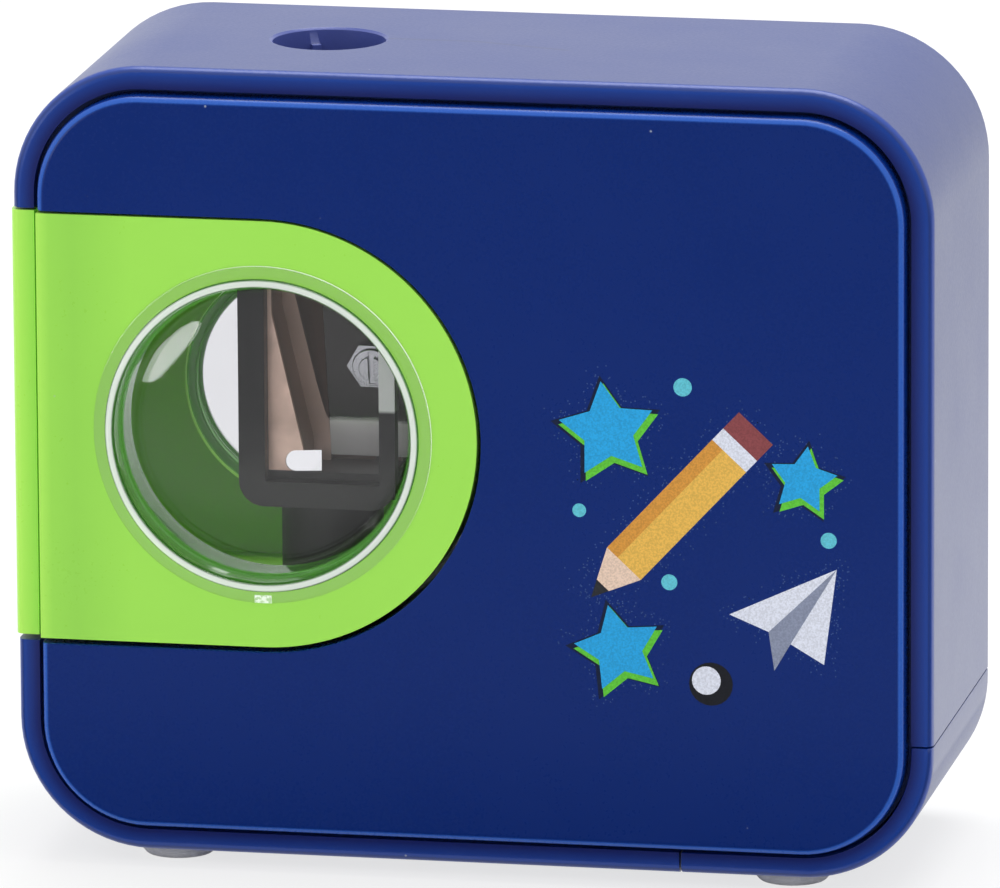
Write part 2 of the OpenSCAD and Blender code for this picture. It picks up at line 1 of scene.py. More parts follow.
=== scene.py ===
"""Looks of a battery pencil sharpener.

A blue case with two covers carries a green shavings bin with two clear windows. The cutter head turns
behind the windows, and the drive, the cells and their contacts sit inside.
"""
import functools
import logging
import math
from collections.abc import Callable
from dataclasses import dataclass
from enum import Enum

import bmesh
import bpy
from mathutils import Matrix, Vector


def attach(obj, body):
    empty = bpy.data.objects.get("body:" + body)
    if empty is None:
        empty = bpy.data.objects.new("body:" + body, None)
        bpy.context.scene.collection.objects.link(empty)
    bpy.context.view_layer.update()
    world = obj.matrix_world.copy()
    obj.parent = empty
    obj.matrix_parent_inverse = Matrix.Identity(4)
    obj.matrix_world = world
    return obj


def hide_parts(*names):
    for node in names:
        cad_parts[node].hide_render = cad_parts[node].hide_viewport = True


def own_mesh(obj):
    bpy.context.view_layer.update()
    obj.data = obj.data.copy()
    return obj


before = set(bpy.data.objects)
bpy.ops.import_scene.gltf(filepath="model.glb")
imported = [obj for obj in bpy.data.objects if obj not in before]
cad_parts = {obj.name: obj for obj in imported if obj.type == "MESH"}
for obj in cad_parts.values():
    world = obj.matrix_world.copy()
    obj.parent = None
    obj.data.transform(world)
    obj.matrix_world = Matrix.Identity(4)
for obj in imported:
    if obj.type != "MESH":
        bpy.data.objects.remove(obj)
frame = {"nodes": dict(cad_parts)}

log = logging.getLogger("sharpener")
MM = 0.001
SAME_POINT = 2e-6
SHORT_EDGE = 1e-6
FLAT_ANGLE = math.radians(0.4)
SHARP_ANGLE = math.radians(40)
CAD_CREASE = math.radians(32)
TURNED_CREASE = math.radians(40)
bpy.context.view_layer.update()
Colour = tuple[float, float, float]


def shade(red: int, green: int, blue: int) -> Colour:
    """Linear colour of three display values from 0 to 255."""
    parts = (v / 255 for v in (red, green, blue))
    return tuple(v / 12.92 if v <= 0.04045 else ((v + 0.055) / 1.055) ** 2.4 for v in parts)


def scaled(colour: Colour, factor: float) -> Colour:
    """A colour made lighter or darker, kept at or under 1."""
    return tuple(min(1.0, v * factor) for v in colour)


# ---- node graphs ----


class Wire:
    """An output socket that can be used in Python sums, each of which adds a Math node."""

    def __init__(self, graph: "Graph", socket: bpy.types.NodeSocket) -> None:
        """Keeps the graph and its socket."""
        self.graph, self.socket = graph, socket

    def math(self, operation: str, *values: "Wire | float") -> "Wire":
        """The result of a Math node.

        Args:
            operation: the node's operation, such as "MULTIPLY".
            values: the node's inputs, in order.

        Returns:
            The node's output.
        """
        return self.graph.node("ShaderNodeMath", {"operation": operation}, dict(enumerate(values)))

    def __add__(self, other: "Wire | float") -> "Wire":
        """self + other."""
        return self.math("ADD", self, other)

    def __sub__(self, other: "Wire | float") -> "Wire":
        """self - other."""
        return self.math("SUBTRACT", self, other)

    def __mul__(self, other: "Wire | float") -> "Wire":
        """self * other."""
        return self.math("MULTIPLY", self, other)

    def __truediv__(self, other: "Wire | float") -> "Wire":
        """self / other."""
        return self.math("DIVIDE", self, other)

    def __radd__(self, other: float) -> "Wire":
        """other + self."""
        return self.math("ADD", other, self)

    def __rsub__(self, other: float) -> "Wire":
        """other - self."""
        return self.math("SUBTRACT", other, self)

    def __rmul__(self, other: float) -> "Wire":
        """other * self."""
        return self.math("MULTIPLY", other, self)

    def above(self, edge: float, soft: float) -> "Wire":
        """1 where the value is over edge, 0 under it, with a soft step of the given width."""
        return ((self - edge) / soft + 0.5).clamped()

    def clamped(self) -> "Wire":
        """The value held between 0 and 1."""
        return self.graph.node("ShaderNodeClamp", {}, {0: self})

    def within(self, low: float, high: float, soft: float) -> "Wire":
        """1 between two values and 0 outside them."""
        return self.above(low, soft) * (1.0 - self.above(high, soft))

    def absolute(self) -> "Wire":
        """The value without its sign."""
        return self.math("ABSOLUTE", self)

    def at_least(self, other: "Wire | float") -> "Wire":
        """The larger of two values."""
        return self.math("MAXIMUM", self, other)

    def length(self, other: "Wire") -> "Wire":
        """The length of a vector with these two parts."""
        total = self * self + other * other
        return total.math("SQRT", total)


class Graph:
    """A node tree and the one method that adds nodes to it."""

    def __init__(self, tree: bpy.types.NodeTree) -> None:
        """Empties the tree and keeps it."""
        self.tree = tree
        tree.nodes.clear()

    def node(self, kind: str, settings: dict | None = None, sockets: dict | None = None,
             out: int | str = 0) -> Wire:
        """Adds a node.

        Args:
            kind: the node's type.
            settings: what is set on the node first, such as its operation.
            sockets: values or links, by socket index, name or identifier.
            out: which output to return, by index or name.

        Returns:
            The chosen output.
        """
        made = self.tree.nodes.new(kind)
        for key, value in (settings or {}).items():
            setattr(made, key, value)
        for key, value in (sockets or {}).items():
            socket = self._find(made.inputs, key)
            if isinstance(value, Wire):
                self.tree.links.new(value.socket, socket)
            elif isinstance(value, tuple) and len(value) == 3 and socket.type == "RGBA":
                socket.default_value = (*value, 1.0)
            else:
                socket.default_value = value
        return Wire(self, self._find(made.outputs, out)) if made.outputs else Wire(self, None)

    @staticmethod
    def _find(sockets: bpy.types.bpy_prop_collection, key: int | str) -> bpy.types.NodeSocket:
        """Finds a socket.

        Args:
            sockets: a node's inputs or outputs.
            key: its index, identifier or name.

        Returns:
            The socket.
        """
        if isinstance(key, int):
            return sockets[key]
        return next((s for s in sockets if s.identifier == key), None) or sockets[key]

    def blend(self, amount: Wire | float, first: Wire | Colour, second: Wire | Colour) -> Wire:
        """A colour between two colours.

        Args:
            amount: 0 for the first, 1 for the second.
            first: the first colour.
            second: the second colour.

        Returns:
            The mixed colour.
        """
        return self.node("ShaderNodeMix", {"data_type": "RGBA"},
                         {"Factor_Float": amount, "A_Color": first, "B_Color": second}, "Result_Color")


class ShaderGraph(Graph):
    """The node tree of one material, with the patterns that the finishes share."""

    def __init__(self, name: str) -> None:
        """Makes an empty material.

        Args:
            name: the material's name.
        """
        self.material = bpy.data.materials.new(name)
        self.material.use_nodes = True
        super().__init__(self.material.node_tree)
        self.place = self.node("ShaderNodeTexCoord", out="Object")

    def axis(self, letter: str) -> Wire:
        """One object coordinate in millimetres."""
        return self.node("ShaderNodeSeparateXYZ", {}, {0: self.place}, letter) * (1 / MM)

    def noise(self, size: float, detail: float = 2.0, stretch: Colour = (1.0, 1.0, 1.0)) -> Wire:
        """Noise from about 0 to 1.

        Args:
            size: the size of its grains in millimetres.
            detail: how many finer layers it has.
            stretch: a factor for each axis, over 1 for finer grains along it.

        Returns:
            The noise's value.
        """
        place = self.place
        if stretch != (1.0, 1.0, 1.0):
            place = self.node("ShaderNodeMapping", {}, {"Vector": place, "Scale": stretch})
        grains = {"Vector": place, "Scale": 1 / (size * MM), "Detail": detail}
        return self.node("ShaderNodeTexNoise", {}, grains)

    def specks(self, spacing: float, radius: float) -> Wire:
        """Rare small dots, each in its own cell.

        Args:
            spacing: the distance between the cells in millimetres.
            radius: the share of a cell that a dot takes.

        Returns:
            1 on the dots and 0 elsewhere.
        """
        cells = {"Vector": self.place, "Scale": 1 / (spacing * MM)}
        return 1.0 - self.node("ShaderNodeTexVoronoi", {}, cells, "Distance").above(radius, radius * 0.6)

    def relief(self, height: Wire, depth: float) -> Wire:
        """A normal from a height map whose full range is depth millimetres."""
        return self.node("ShaderNodeBump", {}, {"Height": height, "Distance": depth * MM, "Strength": 1.0})

    def principled(self, sockets: dict) -> Wire:
        """A Principled shader with those sockets."""
        return self.node("ShaderNodeBsdfPrincipled", {}, sockets)

    def mixed(self, amount: Wire, first: Wire, second: Wire) -> Wire:
        """A shader between two shaders."""
        return self.node("ShaderNodeMixShader", {}, {0: amount, 1: first, 2: second})

    def glow(self, level: float) -> Wire:
        """Plain grey light, where a level of 1 is white."""
        return self.node("ShaderNodeEmission", {}, {"Color": (level, level, level), "Strength": 1.0})

    def finish(self, shader: Wire) -> bpy.types.Material:
        """Links the shader to the output and returns the material."""
        self.node("ShaderNodeOutputMaterial", {}, {"Surface": shader})
        return self.material


# ---- finishes ----


@dataclass(frozen=True)
class Finish:
    """What every finish has: its name, and the slot of the record it stands for."""

    name: str
    slot: str

    def shader(self, g: ShaderGraph) -> Wire:
        """The finish's shader."""
        raise NotImplementedError

    @functools.cache
    def material(self) -> bpy.types.Material:
        """The finish's material, made once."""
        g = ShaderGraph(self.name)
        return g.finish(self.shader(g))


@dataclass(frozen=True)
class Moulded(Finish):
    """Injection-moulded plastic with a fine tooled grain, soft mottling, and a few dust specks.

    Sizes and the grain's depth are in millimetres.
    """

    colour: Colour
    rough: float = 0.3
    grain: float = 0.006
    grain_size: float = 0.35
    mottle: float = 0.06
    dust: float = 0.5
    specular: float = 0.5
    flow_size: float = 14.0
    wave_size: float = 5.0
    dust_gap: float = 5.5
    dust_share: float = 0.018
    dust_colour: Colour = (0.55, 0.58, 0.66)

    def tone(self, g: ShaderGraph, colour: Wire) -> Wire:
        """The body colour, changed where the part has painted light or shade, or a mark of its own."""
        return colour

    def shader(self, g: ShaderGraph) -> Wire:
        """Plastic whose colour, gloss and height vary a little.

        Args:
            g: the material's graph.

        Returns:
            The plastic's shader.
        """
        flow = g.noise(self.flow_size, 3.0)
        fine = g.noise(self.grain_size, 3.0)
        body = g.blend(flow, scaled(self.colour, 1 - self.mottle), scaled(self.colour, 1 + self.mottle))
        dust = g.specks(self.dust_gap, self.dust_share) * self.dust
        colour = g.blend(dust, self.tone(g, body), self.dust_colour)
        rough = self.rough + (flow - 0.5) * 0.08 + (fine - 0.5) * 0.1
        wave = g.noise(self.wave_size, 1.0)
        return g.principled({"Base Color": colour, "Roughness": rough, "IOR": 1.5,
                             "Specular IOR Level": self.specular,
                             "Normal": g.relief(fine + wave * 1.5, self.grain)})


@dataclass(frozen=True)
class CaseBlue(Moulded):
    """Blue plastic with a weld line on top, and painted light: rims graded from a painted highlight to
    painted shade, a painted highlight on the rounded edges, painted light in the recess and a painted
    reflection on the right side.

    Lengths are in millimetres.
    """

    rim_from: float = 14.92
    rim_middle: float = 1.1
    # Painted highlight on the rims' outer part and painted shade on their inner part, towards the gap.
    rim_highlight: Colour = (0.0, 0.046, 0.33)
    rim_shade: Colour = (0.0, 0.011, 0.16)
    core: tuple[float, float] = (28.6, 23.1)
    core_z: float = 35.7
    corner: float = 11.4
    # Painted highlight on the rounded edges.
    edge_highlight: Colour = (0.01, 0.075, 0.5)
    edge_highlight_share: float = 0.4
    highlight_from: float = 14.3
    highlight_to: float = 14.75
    recess_x: float = -15.3
    recess_r: float = 5.1
    recess_from: float = 60.0
    # Painted light in the pencil recess.
    recess_light: Colour = (0.1, 0.13, 0.42)
    recess_light_share: float = 0.8
    side_x: float = 39.85
    # Painted reflection on the right side.
    side_reflection: Colour = (0.75, 0.75, 0.8)
    side_reflection_share: float = 0.16
    weld: tuple[float, float] = (-10.6, 6.0)
    weld_y: float = 0.9
    weld_half: float = 0.25
    weld_share: float = 0.35
    bend_x: float = -2.5
    top: float = 69.8

    def tone(self, g: ShaderGraph, colour: Wire) -> Wire:
        """The body colour with the painted light of the rims, edges, recess and right side, and the weld
        line, laid over it.

        Args:
            g: the material's graph.
            colour: the body colour.

        Returns:
            The colour of each place.
        """
        x, y, z = g.axis("X"), g.axis("Y"), g.axis("Z")
        depth = y.absolute()
        beside = (x.absolute() - self.core[0]).at_least(0.0)
        above = ((z - self.core_z).absolute() - self.core[1]).at_least(0.0)
        inwards = self.corner - beside.length(above)
        # Painted light on the rim: a painted highlight outside, graded to painted shade inside.
        rim = g.blend(inwards.above(self.rim_middle, 1.2), self.rim_highlight, self.rim_shade)
        colour = g.blend(depth.above(self.rim_from, 0.1), colour, rim)
        # Painted highlight on the rounded edge.
        colour = g.blend(depth.within(self.highlight_from, self.highlight_to, 0.2) * self.edge_highlight_share, colour,
                         self.edge_highlight)
        # Painted light inside the pencil recess, above a height.
        inside = 1.0 - (x - self.recess_x).length(y).above(self.recess_r, 0.2)
        colour = g.blend(inside * z.above(self.recess_from, 0.3) * self.recess_light_share, colour, self.recess_light)
        # Painted reflection on the right side, stronger towards the bottom.
        side = x.above(self.side_x, 0.1) * (1.0 - z.above(38.0, 50.0))
        colour = g.blend(side * self.side_reflection_share, colour, self.side_reflection)
        gap = y + (x - self.bend_x).at_least(0.0) * 0.3 - self.weld_y
        weld = (1.0 - gap.absolute().above(self.weld_half, 0.15)) * x.within(*self.weld, 1.0)
        weld = weld * z.above(self.top, 0.1)
        return g.blend(weld * self.weld_share, colour, scaled(self.colour, 0.3))


@dataclass(frozen=True)
class CoverBlue(Moulded):
    """Blue plastic with a painted highlight along its outer edge. Lengths are in millimetres."""

    # Painted highlight along the outer edge.
    lift: Colour = (0.03, 0.14, 0.62)
    highlight_from: float = 15.8
    highlight_to: float = 16.14
    share: float = 0.7

    def tone(self, g: ShaderGraph, colour: Wire) -> Wire:
        """A painted highlight on the edge."""
        # Painted highlight on the edge.
        edge = g.axis("Y").absolute().within(self.highlight_from, self.highlight_to, 0.04)
        return g.blend(edge * self.share, colour, self.lift)


@dataclass(frozen=True)
class BinGreen(Moulded):
    """Green plastic with a painted highlight on its left edges and painted shade beside them. Lengths are in
    millimetres.
    """

    # Painted highlight colour of the left edges, and painted shade colour beside them.
    lift: Colour = (0.52, 0.98, 0.13)
    deep: Colour = (0.27, 0.66, 0.072)
    face_from: float = 15.3
    end_x: float = -39.1
    line_x: float = -37.2
    shadow: tuple[float, float] = (-37.0, -32.0)
    highlight_share: float = 0.75
    shade_share: float = 0.5

    def tone(self, g: ShaderGraph, colour: Wire) -> Wire:
        """A painted highlight on the edges, painted shade beside them.

        Args:
            g: the material's graph.
            colour: the body colour.

        Returns:
            The colour of each place.
        """
        x, face = g.axis("X"), g.axis("Y").absolute().above(self.face_from, 0.2)
        # Painted highlight on the left edges.
        edge = (1.0 - x.above(self.end_x, 1.4)).at_least(face * (1.0 - x.above(self.line_x, 1.2)))
        # Painted shade beside them.
        shaded = face * x.within(*self.shadow, 5.0) * self.shade_share
        return g.blend(edge * self.highlight_share, g.blend(shaded, colour, self.deep), self.lift)


@dataclass(frozen=True)
class Carrier(Moulded):
    """Dark nylon with painted shade above its floor, and a pale painted reflection on its right bars over a
    height.

    Lengths are in millimetres.
    """

    # Painted shade above this height.
    painted_shade_from: float = 34.0
    painted_dark_level: float = 0.15
    # A pale painted reflection on the right bars: where it starts, and its colour.
    reflection_x: float = -10.3
    reflection_z: float = 38.9
    reflection_colour: Colour = shade(243, 243, 240)

    def tone(self, g: ShaderGraph, colour: Wire) -> Wire:
        """Painted shade above, a painted reflection on the right bars.

        Args:
            g: the material's graph.
            colour: the body colour.

        Returns:
            The colour of each place.
        """
        x, z = g.axis("X"), g.axis("Z")
        # Painted shade: darker above the floor.
        colour = g.blend(z.above(self.painted_shade_from, 3.0), colour, scaled(self.colour, self.painted_dark_level))
        # A pale painted reflection on the right bars, over a height.
        return g.blend(x.above(self.reflection_x, 0.1) * z.above(self.reflection_z, 0.3), colour, self.reflection_colour)


@dataclass(frozen=True)
class Clear(Finish):
    """Clear moulded styrene, which lets lamps through, with a painted highlight and glow on its bead.

    Lengths are in millimetres. The bead and the moulding mark stand out in front of the panel's face, where
    they get a painted glow, and the collar behind it is painted green, standing in for the green hole seen
    through the clear plastic.
    """

    centre: tuple[float, float] = (0.0, 0.0)
    bead: float = 13.3
    # How much painted green the collar gets.
    seat: float = 0.5
    tint: Colour = (0.87, 0.87, 0.89)
    refraction: float = 1.49
    front_from: float = 16.4
    seat_to: float = 16.0
    mark_drop: float = 1.1
    mark_half: tuple[float, float] = (0.75, 0.42)

    def pale(self, g: ShaderGraph, wave: Wire) -> Wire:
        """The bead and the mark, with a painted highlight and a little painted glow.

        Args:
            g: the material's graph.
            wave: how far each place is from the darker to the paler tone.

        Returns:
            Their shader.
        """
        return g.principled({"Base Color": g.blend(wave, (0.86, 0.9, 0.86), (0.92, 0.94, 0.92)),
                             "Roughness": 0.12 + 0.1 * wave, "IOR": self.refraction, "Emission Strength": 1.0,
                             "Emission Color": g.blend(wave, (0.3, 0.33, 0.3), (0.42, 0.44, 0.42))})

    def shader(self, g: ShaderGraph) -> Wire:
        """Glass for the eye and plain transparency for shadows and soft light.

        Args:
            g: the material's graph.

        Returns:
            The window's shader.
        """
        wave = g.noise(6.0, 1.0)
        glass = g.principled({"Base Color": g.blend(wave, self.tint, scaled(self.tint, 1.02)),
                              "Roughness": 0.01 + 0.02 * g.noise(2.5, 2.0).above(0.72, 0.2),
                              "IOR": self.refraction, "Transmission Weight": 1.0})
        # Painted green for the collar, standing in for the green hole seen through the clear plastic.
        green = g.principled({"Base Color": g.blend(wave, shade(96, 178, 70), shade(112, 192, 84)),
                              "Roughness": 0.1 + 0.1 * wave, "IOR": self.refraction})
        right, up, depth = g.axis("X") - self.centre[0], g.axis("Z") - self.centre[1], g.axis("Y").absolute()
        radius = right.length(up)
        mark = right.absolute().above(self.mark_half[0], 0.1) + (
            up + (self.bead + self.mark_drop)).absolute().above(self.mark_half[1], 0.1)
        mark = (1.0 - mark.clamped()) * (0.4 + 0.6 * g.noise(0.5, 2.0).above(0.5, 0.1))
        # The bead's ring gets a painted highlight and glow; the moulding mark is a real frosted spot that
        # gets the same painted glow.
        ring = radius.within(self.bead - 0.24, self.bead + 0.26, 0.14) * 0.6
        seat = radius.above(self.bead - 0.85, 0.1) * (1.0 - depth.above(self.seat_to, 0.1))
        glass = g.mixed(seat * self.seat, glass, green)
        # Where the painted highlight and glow show, in front of the face.
        bright = ring.at_least(mark * 0.7) * depth.above(self.front_from, 0.1)
        glass = g.mixed(bright, glass, self.pale(g, wave))
        shadow, soft = (g.node("ShaderNodeLightPath", out=ray) for ray in ("Is Shadow Ray", "Is Diffuse Ray"))
        clear = g.node("ShaderNodeBsdfTransparent", {}, {"Color": scaled(self.tint, 1.05)})
        return g.mixed(shadow.at_least(soft), glass, clear)


class Lay(Enum):
    """Which way the fine lines of a metal run, as the stretch of its noise."""

    ALONG_X = (0.04, 1.0, 1.0)
    ALONG_Z = (1.0, 1.0, 0.04)
    ROUND = (1.0, 1.0, 1.0)


@dataclass(frozen=True)
class Metal(Finish):
    """Ground, cast or drawn metal with fine lines and faint smudges.

    It has a painted dark reflection over a given height and painted shade behind a given depth, where it has
    them. Sizes and lengths are in millimetres.
    """

    colour: Colour
    rough: float = 0.3
    lay: Lay = Lay.ROUND
    lines: float = 0.004
    smudge: float = 0.15
    metallic: float = 1.0
    # Painted dark reflection over a height, and painted shade behind a depth, where a part has them.
    painted_dark_over: float | None = None
    painted_dark_level: float = 0.04
    painted_shade_depth: float | None = None
    painted_shade_level: float = 0.4
    line_size: float = 0.12
    cloud_size: float = 3.0

    def shader(self, g: ShaderGraph) -> Wire:
        """Metal with fine lines in its height and cloudy gloss, with a painted dark reflection over a height
        and painted shade behind a depth.

        Args:
            g: the material's graph.

        Returns:
            The metal's shader.
        """
        fine = g.noise(self.line_size, 2.0, self.lay.value)
        cloud = g.noise(self.cloud_size, 3.0)
        colour = g.blend(cloud.above(0.55, 0.5), self.colour, scaled(self.colour, 1 - self.smudge))
        metallic = self.metallic
        # Painted dark reflection over the height, fully metallic there so that it stays dark.
        if self.painted_dark_over is not None:
            dark = (g.axis("Z") + (cloud - 0.5) * 0.5).above(self.painted_dark_over, 0.5)
            colour = g.blend(dark, colour, scaled(self.colour, self.painted_dark_level))
            metallic = dark * (1.0 - self.metallic) + self.metallic
        # Painted shade behind the depth, inside the block's cone.
        if self.painted_shade_depth is not None:
            deep = g.axis("Y").above(self.painted_shade_depth, 0.4)
            colour = g.blend(deep, colour, scaled(self.colour, self.painted_shade_level))
        return g.principled({"Base Color": colour, "Metallic": metallic,
                             "Roughness": self.rough + (cloud - 0.5) * 0.2 + (fine - 0.5) * 0.12,
                             "Normal": g.relief(fine, self.lines)})


@dataclass(frozen=True)
class Rubber(Finish):
    """Matte moulded rubber with a worn, dusty skin."""

    colour: Colour

    def shader(self, g: ShaderGraph) -> Wire:
        """Matte rubber, paler where it is scuffed.

        Args:
            g: the material's graph.

        Returns:
            The rubber's shader.
        """
        scuff = g.noise(0.8, 4.0)
        colour = g.blend(scuff.above(0.6, 0.3), self.colour, scaled(self.colour, 1.25))
        return g.principled({"Base Color": colour, "Roughness": 0.78 + scuff * 0.12,
                             "Normal": g.relief(g.noise(0.25, 2.0), 0.02)})


@dataclass(frozen=True)
class Ink(Finish):
    """Screen-printed ink with the fine tooth of the printing."""

    colour: Colour
    tooth: float = 0.12

    def shader(self, g: ShaderGraph) -> Wire:
        """Ink whose grain shows in its colour.

        Args:
            g: the material's graph.

        Returns:
            The ink's shader.
        """
        tooth = g.noise(0.16, 1.0).above(0.5, 0.3)
        colour = g.blend(tooth, scaled(self.colour, 1 - self.tooth), scaled(self.colour, 1 + self.tooth))
        return g.principled({"Base Color": colour, "Roughness": 0.42 + tooth * 0.1, "IOR": 1.45,
                             "Specular IOR Level": 0.3, "Normal": g.relief(tooth, 0.003)})


@dataclass(frozen=True)
class CellSleeve(Finish):
    """Printed sleeve of a small cell: a plain body colour with a pale band, and bare metal ends.

    Heights are in millimetres.
    """

    colour: Colour
    band: Colour
    low: float
    high: float
    band_drop: tuple[float, float] = (11.0, 1.5)
    bare: Colour = (0.62, 0.62, 0.62)

    def shader(self, g: ShaderGraph) -> Wire:
        """Sleeve colours by height, with metal above and below the sleeve.

        Args:
            g: the material's graph.

        Returns:
            The sleeve's shader.
        """
        height = g.axis("Z")
        sleeve = height.within(self.low, self.high, 0.1)
        stripe = height.within(self.high - self.band_drop[0], self.high - self.band_drop[1], 0.1)
        colour = g.blend(sleeve, self.bare, g.blend(stripe, self.colour, self.band))
        fine = g.noise(0.3, 2.0)
        return g.principled({"Base Color": colour, "Metallic": 1.0 - sleeve, "Roughness": 0.28 + fine * 0.1,
                             "Normal": g.relief(fine, 0.003)})


class Look:
    """The finishes of the sharpener."""

    band = CaseBlue("case blue", "blue_case", shade(2, 46, 124), rough=0.31, grain=0.014, grain_size=0.3,
                    mottle=0.05, specular=0.6)
    panel = CoverBlue("cover blue", "blue_panel", shade(0, 40, 118), rough=0.28, grain=0.005, mottle=0.05,
                      specular=0.3)
    bin = BinGreen("bin green", "green_bin", shade(166, 238, 86), rough=0.3, grain=0.004, mottle=0.02,
                   dust=0.25)
    front_pane = Clear("clear styrene", "clear_window", (-18.0, 38.7), 13.35)
    rear_pane = Clear("clear styrene rear", "clear_window", (-20.6, 36.8), 10.35, 0.95)
    dark = Carrier("black nylon", "dark_plastic", shade(50, 50, 48), rough=0.42, grain=0.003, mottle=0.16,
                   specular=0.3)
    frame = Moulded("inner frame", "dark_plastic", shade(50, 52, 54), rough=0.5, grain=0.01, mottle=0.1)
    bush = Moulded("guide sleeve", "bush_plastic", shade(28, 28, 32), rough=0.4, grain=0.008)
    gear = Moulded("gear acetal", "white_gear", shade(226, 224, 214), rough=0.35, grain=0.004, mottle=0.02)
    cap = Moulded("motor cap", "motor_cap", shade(232, 230, 224), rough=0.4, grain=0.004, mottle=0.02)
    # The block gets painted shade in its cone, behind the given depth.
    block = Metal("cast block", "block_metal", shade(242, 210, 192), rough=0.46, lines=0.006,
                  smudge=0.4, painted_shade_depth=-4.6)
    # The blade gets a painted dark reflection over the given height.
    blade = Metal("ground blade", "blade_steel", shade(248, 244, 240), rough=0.2, lay=Lay.ALONG_Z,
                  lines=0.003, metallic=0.35, painted_dark_over=37.0)
    screw = Metal("plated screw", "screw_steel", shade(190, 190, 194), rough=0.24, lines=0.004)
    can = Metal("motor can", "motor_steel", shade(196, 196, 194), rough=0.32, lay=Lay.ALONG_Z)
    contact = Metal("plated strip", "contact_metal", shade(208, 186, 128), rough=0.3, lay=Lay.ALONG_X)
    spring = Metal("spring wire", "spring_steel", shade(190, 190, 192), rough=0.28)
    brass = Metal("turned brass", "pinion_brass", shade(208, 174, 100), rough=0.28)
    foot = Rubber("foot rubber", "foot_rubber", shade(202, 202, 206))
    cell = CellSleeve("cell sleeve", "cell_jacket", shade(36, 104, 80), shade(200, 200, 190), 9.0, 50.5)


# ---- meshes ----


def new_object(name: str, mesh: bpy.types.Mesh) -> bpy.types.Object:
    """Links a mesh to the scene as an object at the origin.

    Args:
        name: the object's name.
        mesh: its mesh.

    Returns:
        The object.
    """
    made = bpy.data.objects.new(name, mesh)
    bpy.context.scene.collection.objects.link(made)
    return made


def from_bmesh(name: str, bm: bmesh.types.BMesh) -> bpy.types.Object:
    """Turns a bmesh into an object at the origin and frees it.

    Args:
        name: the object's name.
        bm: its shape.

    Returns:
        The object.
    """
    mesh = bpy.data.meshes.new(name)
    bm.to_mesh(mesh)
    bm.free()
    return new_object(name, mesh)


def baked(piece: bpy.types.Object) -> bpy.types.Object:
    """Turns what a piece's modifiers make into its plain mesh and takes the modifiers off.

    Args:
        piece: the piece.

    Returns:
        The same piece.
    """
    graph = bpy.context.evaluated_depsgraph_get()
    mesh = bpy.data.meshes.new_from_object(piece.evaluated_get(graph))
    old = piece.data
    piece.modifiers.clear()
    piece.data = mesh
    bpy.data.meshes.remove(old)
    return piece


def smoothed(piece: bpy.types.Object, angle: float) -> bpy.types.Object:
    """Shades a piece smooth and evens its normals.

    Args:
        piece: the piece.
        angle: the angle over which an edge stays sharp.

    Returns:
        The same piece.
    """
    piece.data.shade_smooth()
    piece.data.set_sharp_from_angle(angle=angle)
    even = piece.modifiers.new("even", "WEIGHTED_NORMAL")
    even.keep_sharp = True
    even.weight = 80
    return baked(piece)


def refined(node: str, name: str, edge: float = 0.0) -> bpy.types.Object:
    """A smooth copy of a CAD node whose outer sharp edges are broken.

    Args:
        node: the CAD node's name.
        name: the new piece's name.
        edge: the width of the broken edge in millimetres.

    Returns:
        The new piece.
    """
    bm = bmesh.new()
    bm.from_mesh(frame["nodes"][node].data)
    bmesh.ops.remove_doubles(bm, verts=bm.verts, dist=SAME_POINT)
    bmesh.ops.dissolve_degenerate(bm, edges=bm.edges, dist=SHORT_EDGE)
    bmesh.ops.dissolve_limit(bm, angle_limit=FLAT_ANGLE, verts=bm.verts, edges=bm.edges)
    if edge:
        sharp = [e for e in bm.edges
                 if len(e.link_faces) == 2 and e.calc_face_angle_signed(0.0) > SHARP_ANGLE]
        bmesh.ops.bevel(bm, geom=sharp, offset=edge * MM, segments=2, profile=0.5, affect="EDGES",
                        clamp_overlap=True, offset_type="OFFSET")
    return smoothed(from_bmesh(name, bm), CAD_CREASE)


def turned(name: str, outline: list[tuple[float, float]], centre: Vector, side: float,
           steps: int = 128) -> bpy.types.Object:
    """A piece turned about an axis along Y.

    Args:
        name: the piece's name.
        outline: points of radius and distance from the panel's face in millimetres, from the axis
            outside round to the axis again.
        centre: the point of the axis on the panel's face, in millimetres.
        side: -1 to grow towards the front, 1 towards the rear.
        steps: how many segments go round.

    Returns:
        The piece.
    """
    bm = bmesh.new()
    rings: list[list[bmesh.types.BMVert]] = []
    for radius, out in outline:
        y = centre.y + side * out
        if radius < SAME_POINT:
            rings.append([bm.verts.new(Vector((centre.x, y, centre.z)) * MM)])
            continue
        turns = [2 * math.pi * k / steps for k in range(steps)]
        rings.append([bm.verts.new(Vector((centre.x + radius * math.cos(t), y,
                                           centre.z + radius * math.sin(t))) * MM) for t in turns])
    for first, second in zip(rings, rings[1:]):
        for k in range(steps):
            corners = [first[k % len(first)], first[(k + 1) % steps % len(first)],
                       second[(k + 1) % steps % len(second)], second[k % len(second)]]
            unique = list(dict.fromkeys(corners))
            if len(unique) > 2:
                bm.faces.new(unique)
    bmesh.ops.recalc_face_normals(bm, faces=bm.faces)
    return smoothed(from_bmesh(name, bm), TURNED_CREASE)


def flat_plate(bm: bmesh.types.BMesh, outline: list[tuple[float, float]], back: float, front: float) -> None:
    """Adds a thin upright plate.

    Args:
        bm: the mesh to add to.
        outline: its corners in X and Z, in millimetres.
        back: the Y of its back face in millimetres.
        front: the Y of its front face in millimetres.
    """
    rear, face = (bm.faces.new([bm.verts.new(Vector((x, y, z)) * MM) for x, z in outline])
                  for y in (back, front))
    for k in range(len(outline)):
        n = (k + 1) % len(outline)
        bm.faces.new([rear.verts[k], rear.verts[n], face.verts[n], face.verts[k]])


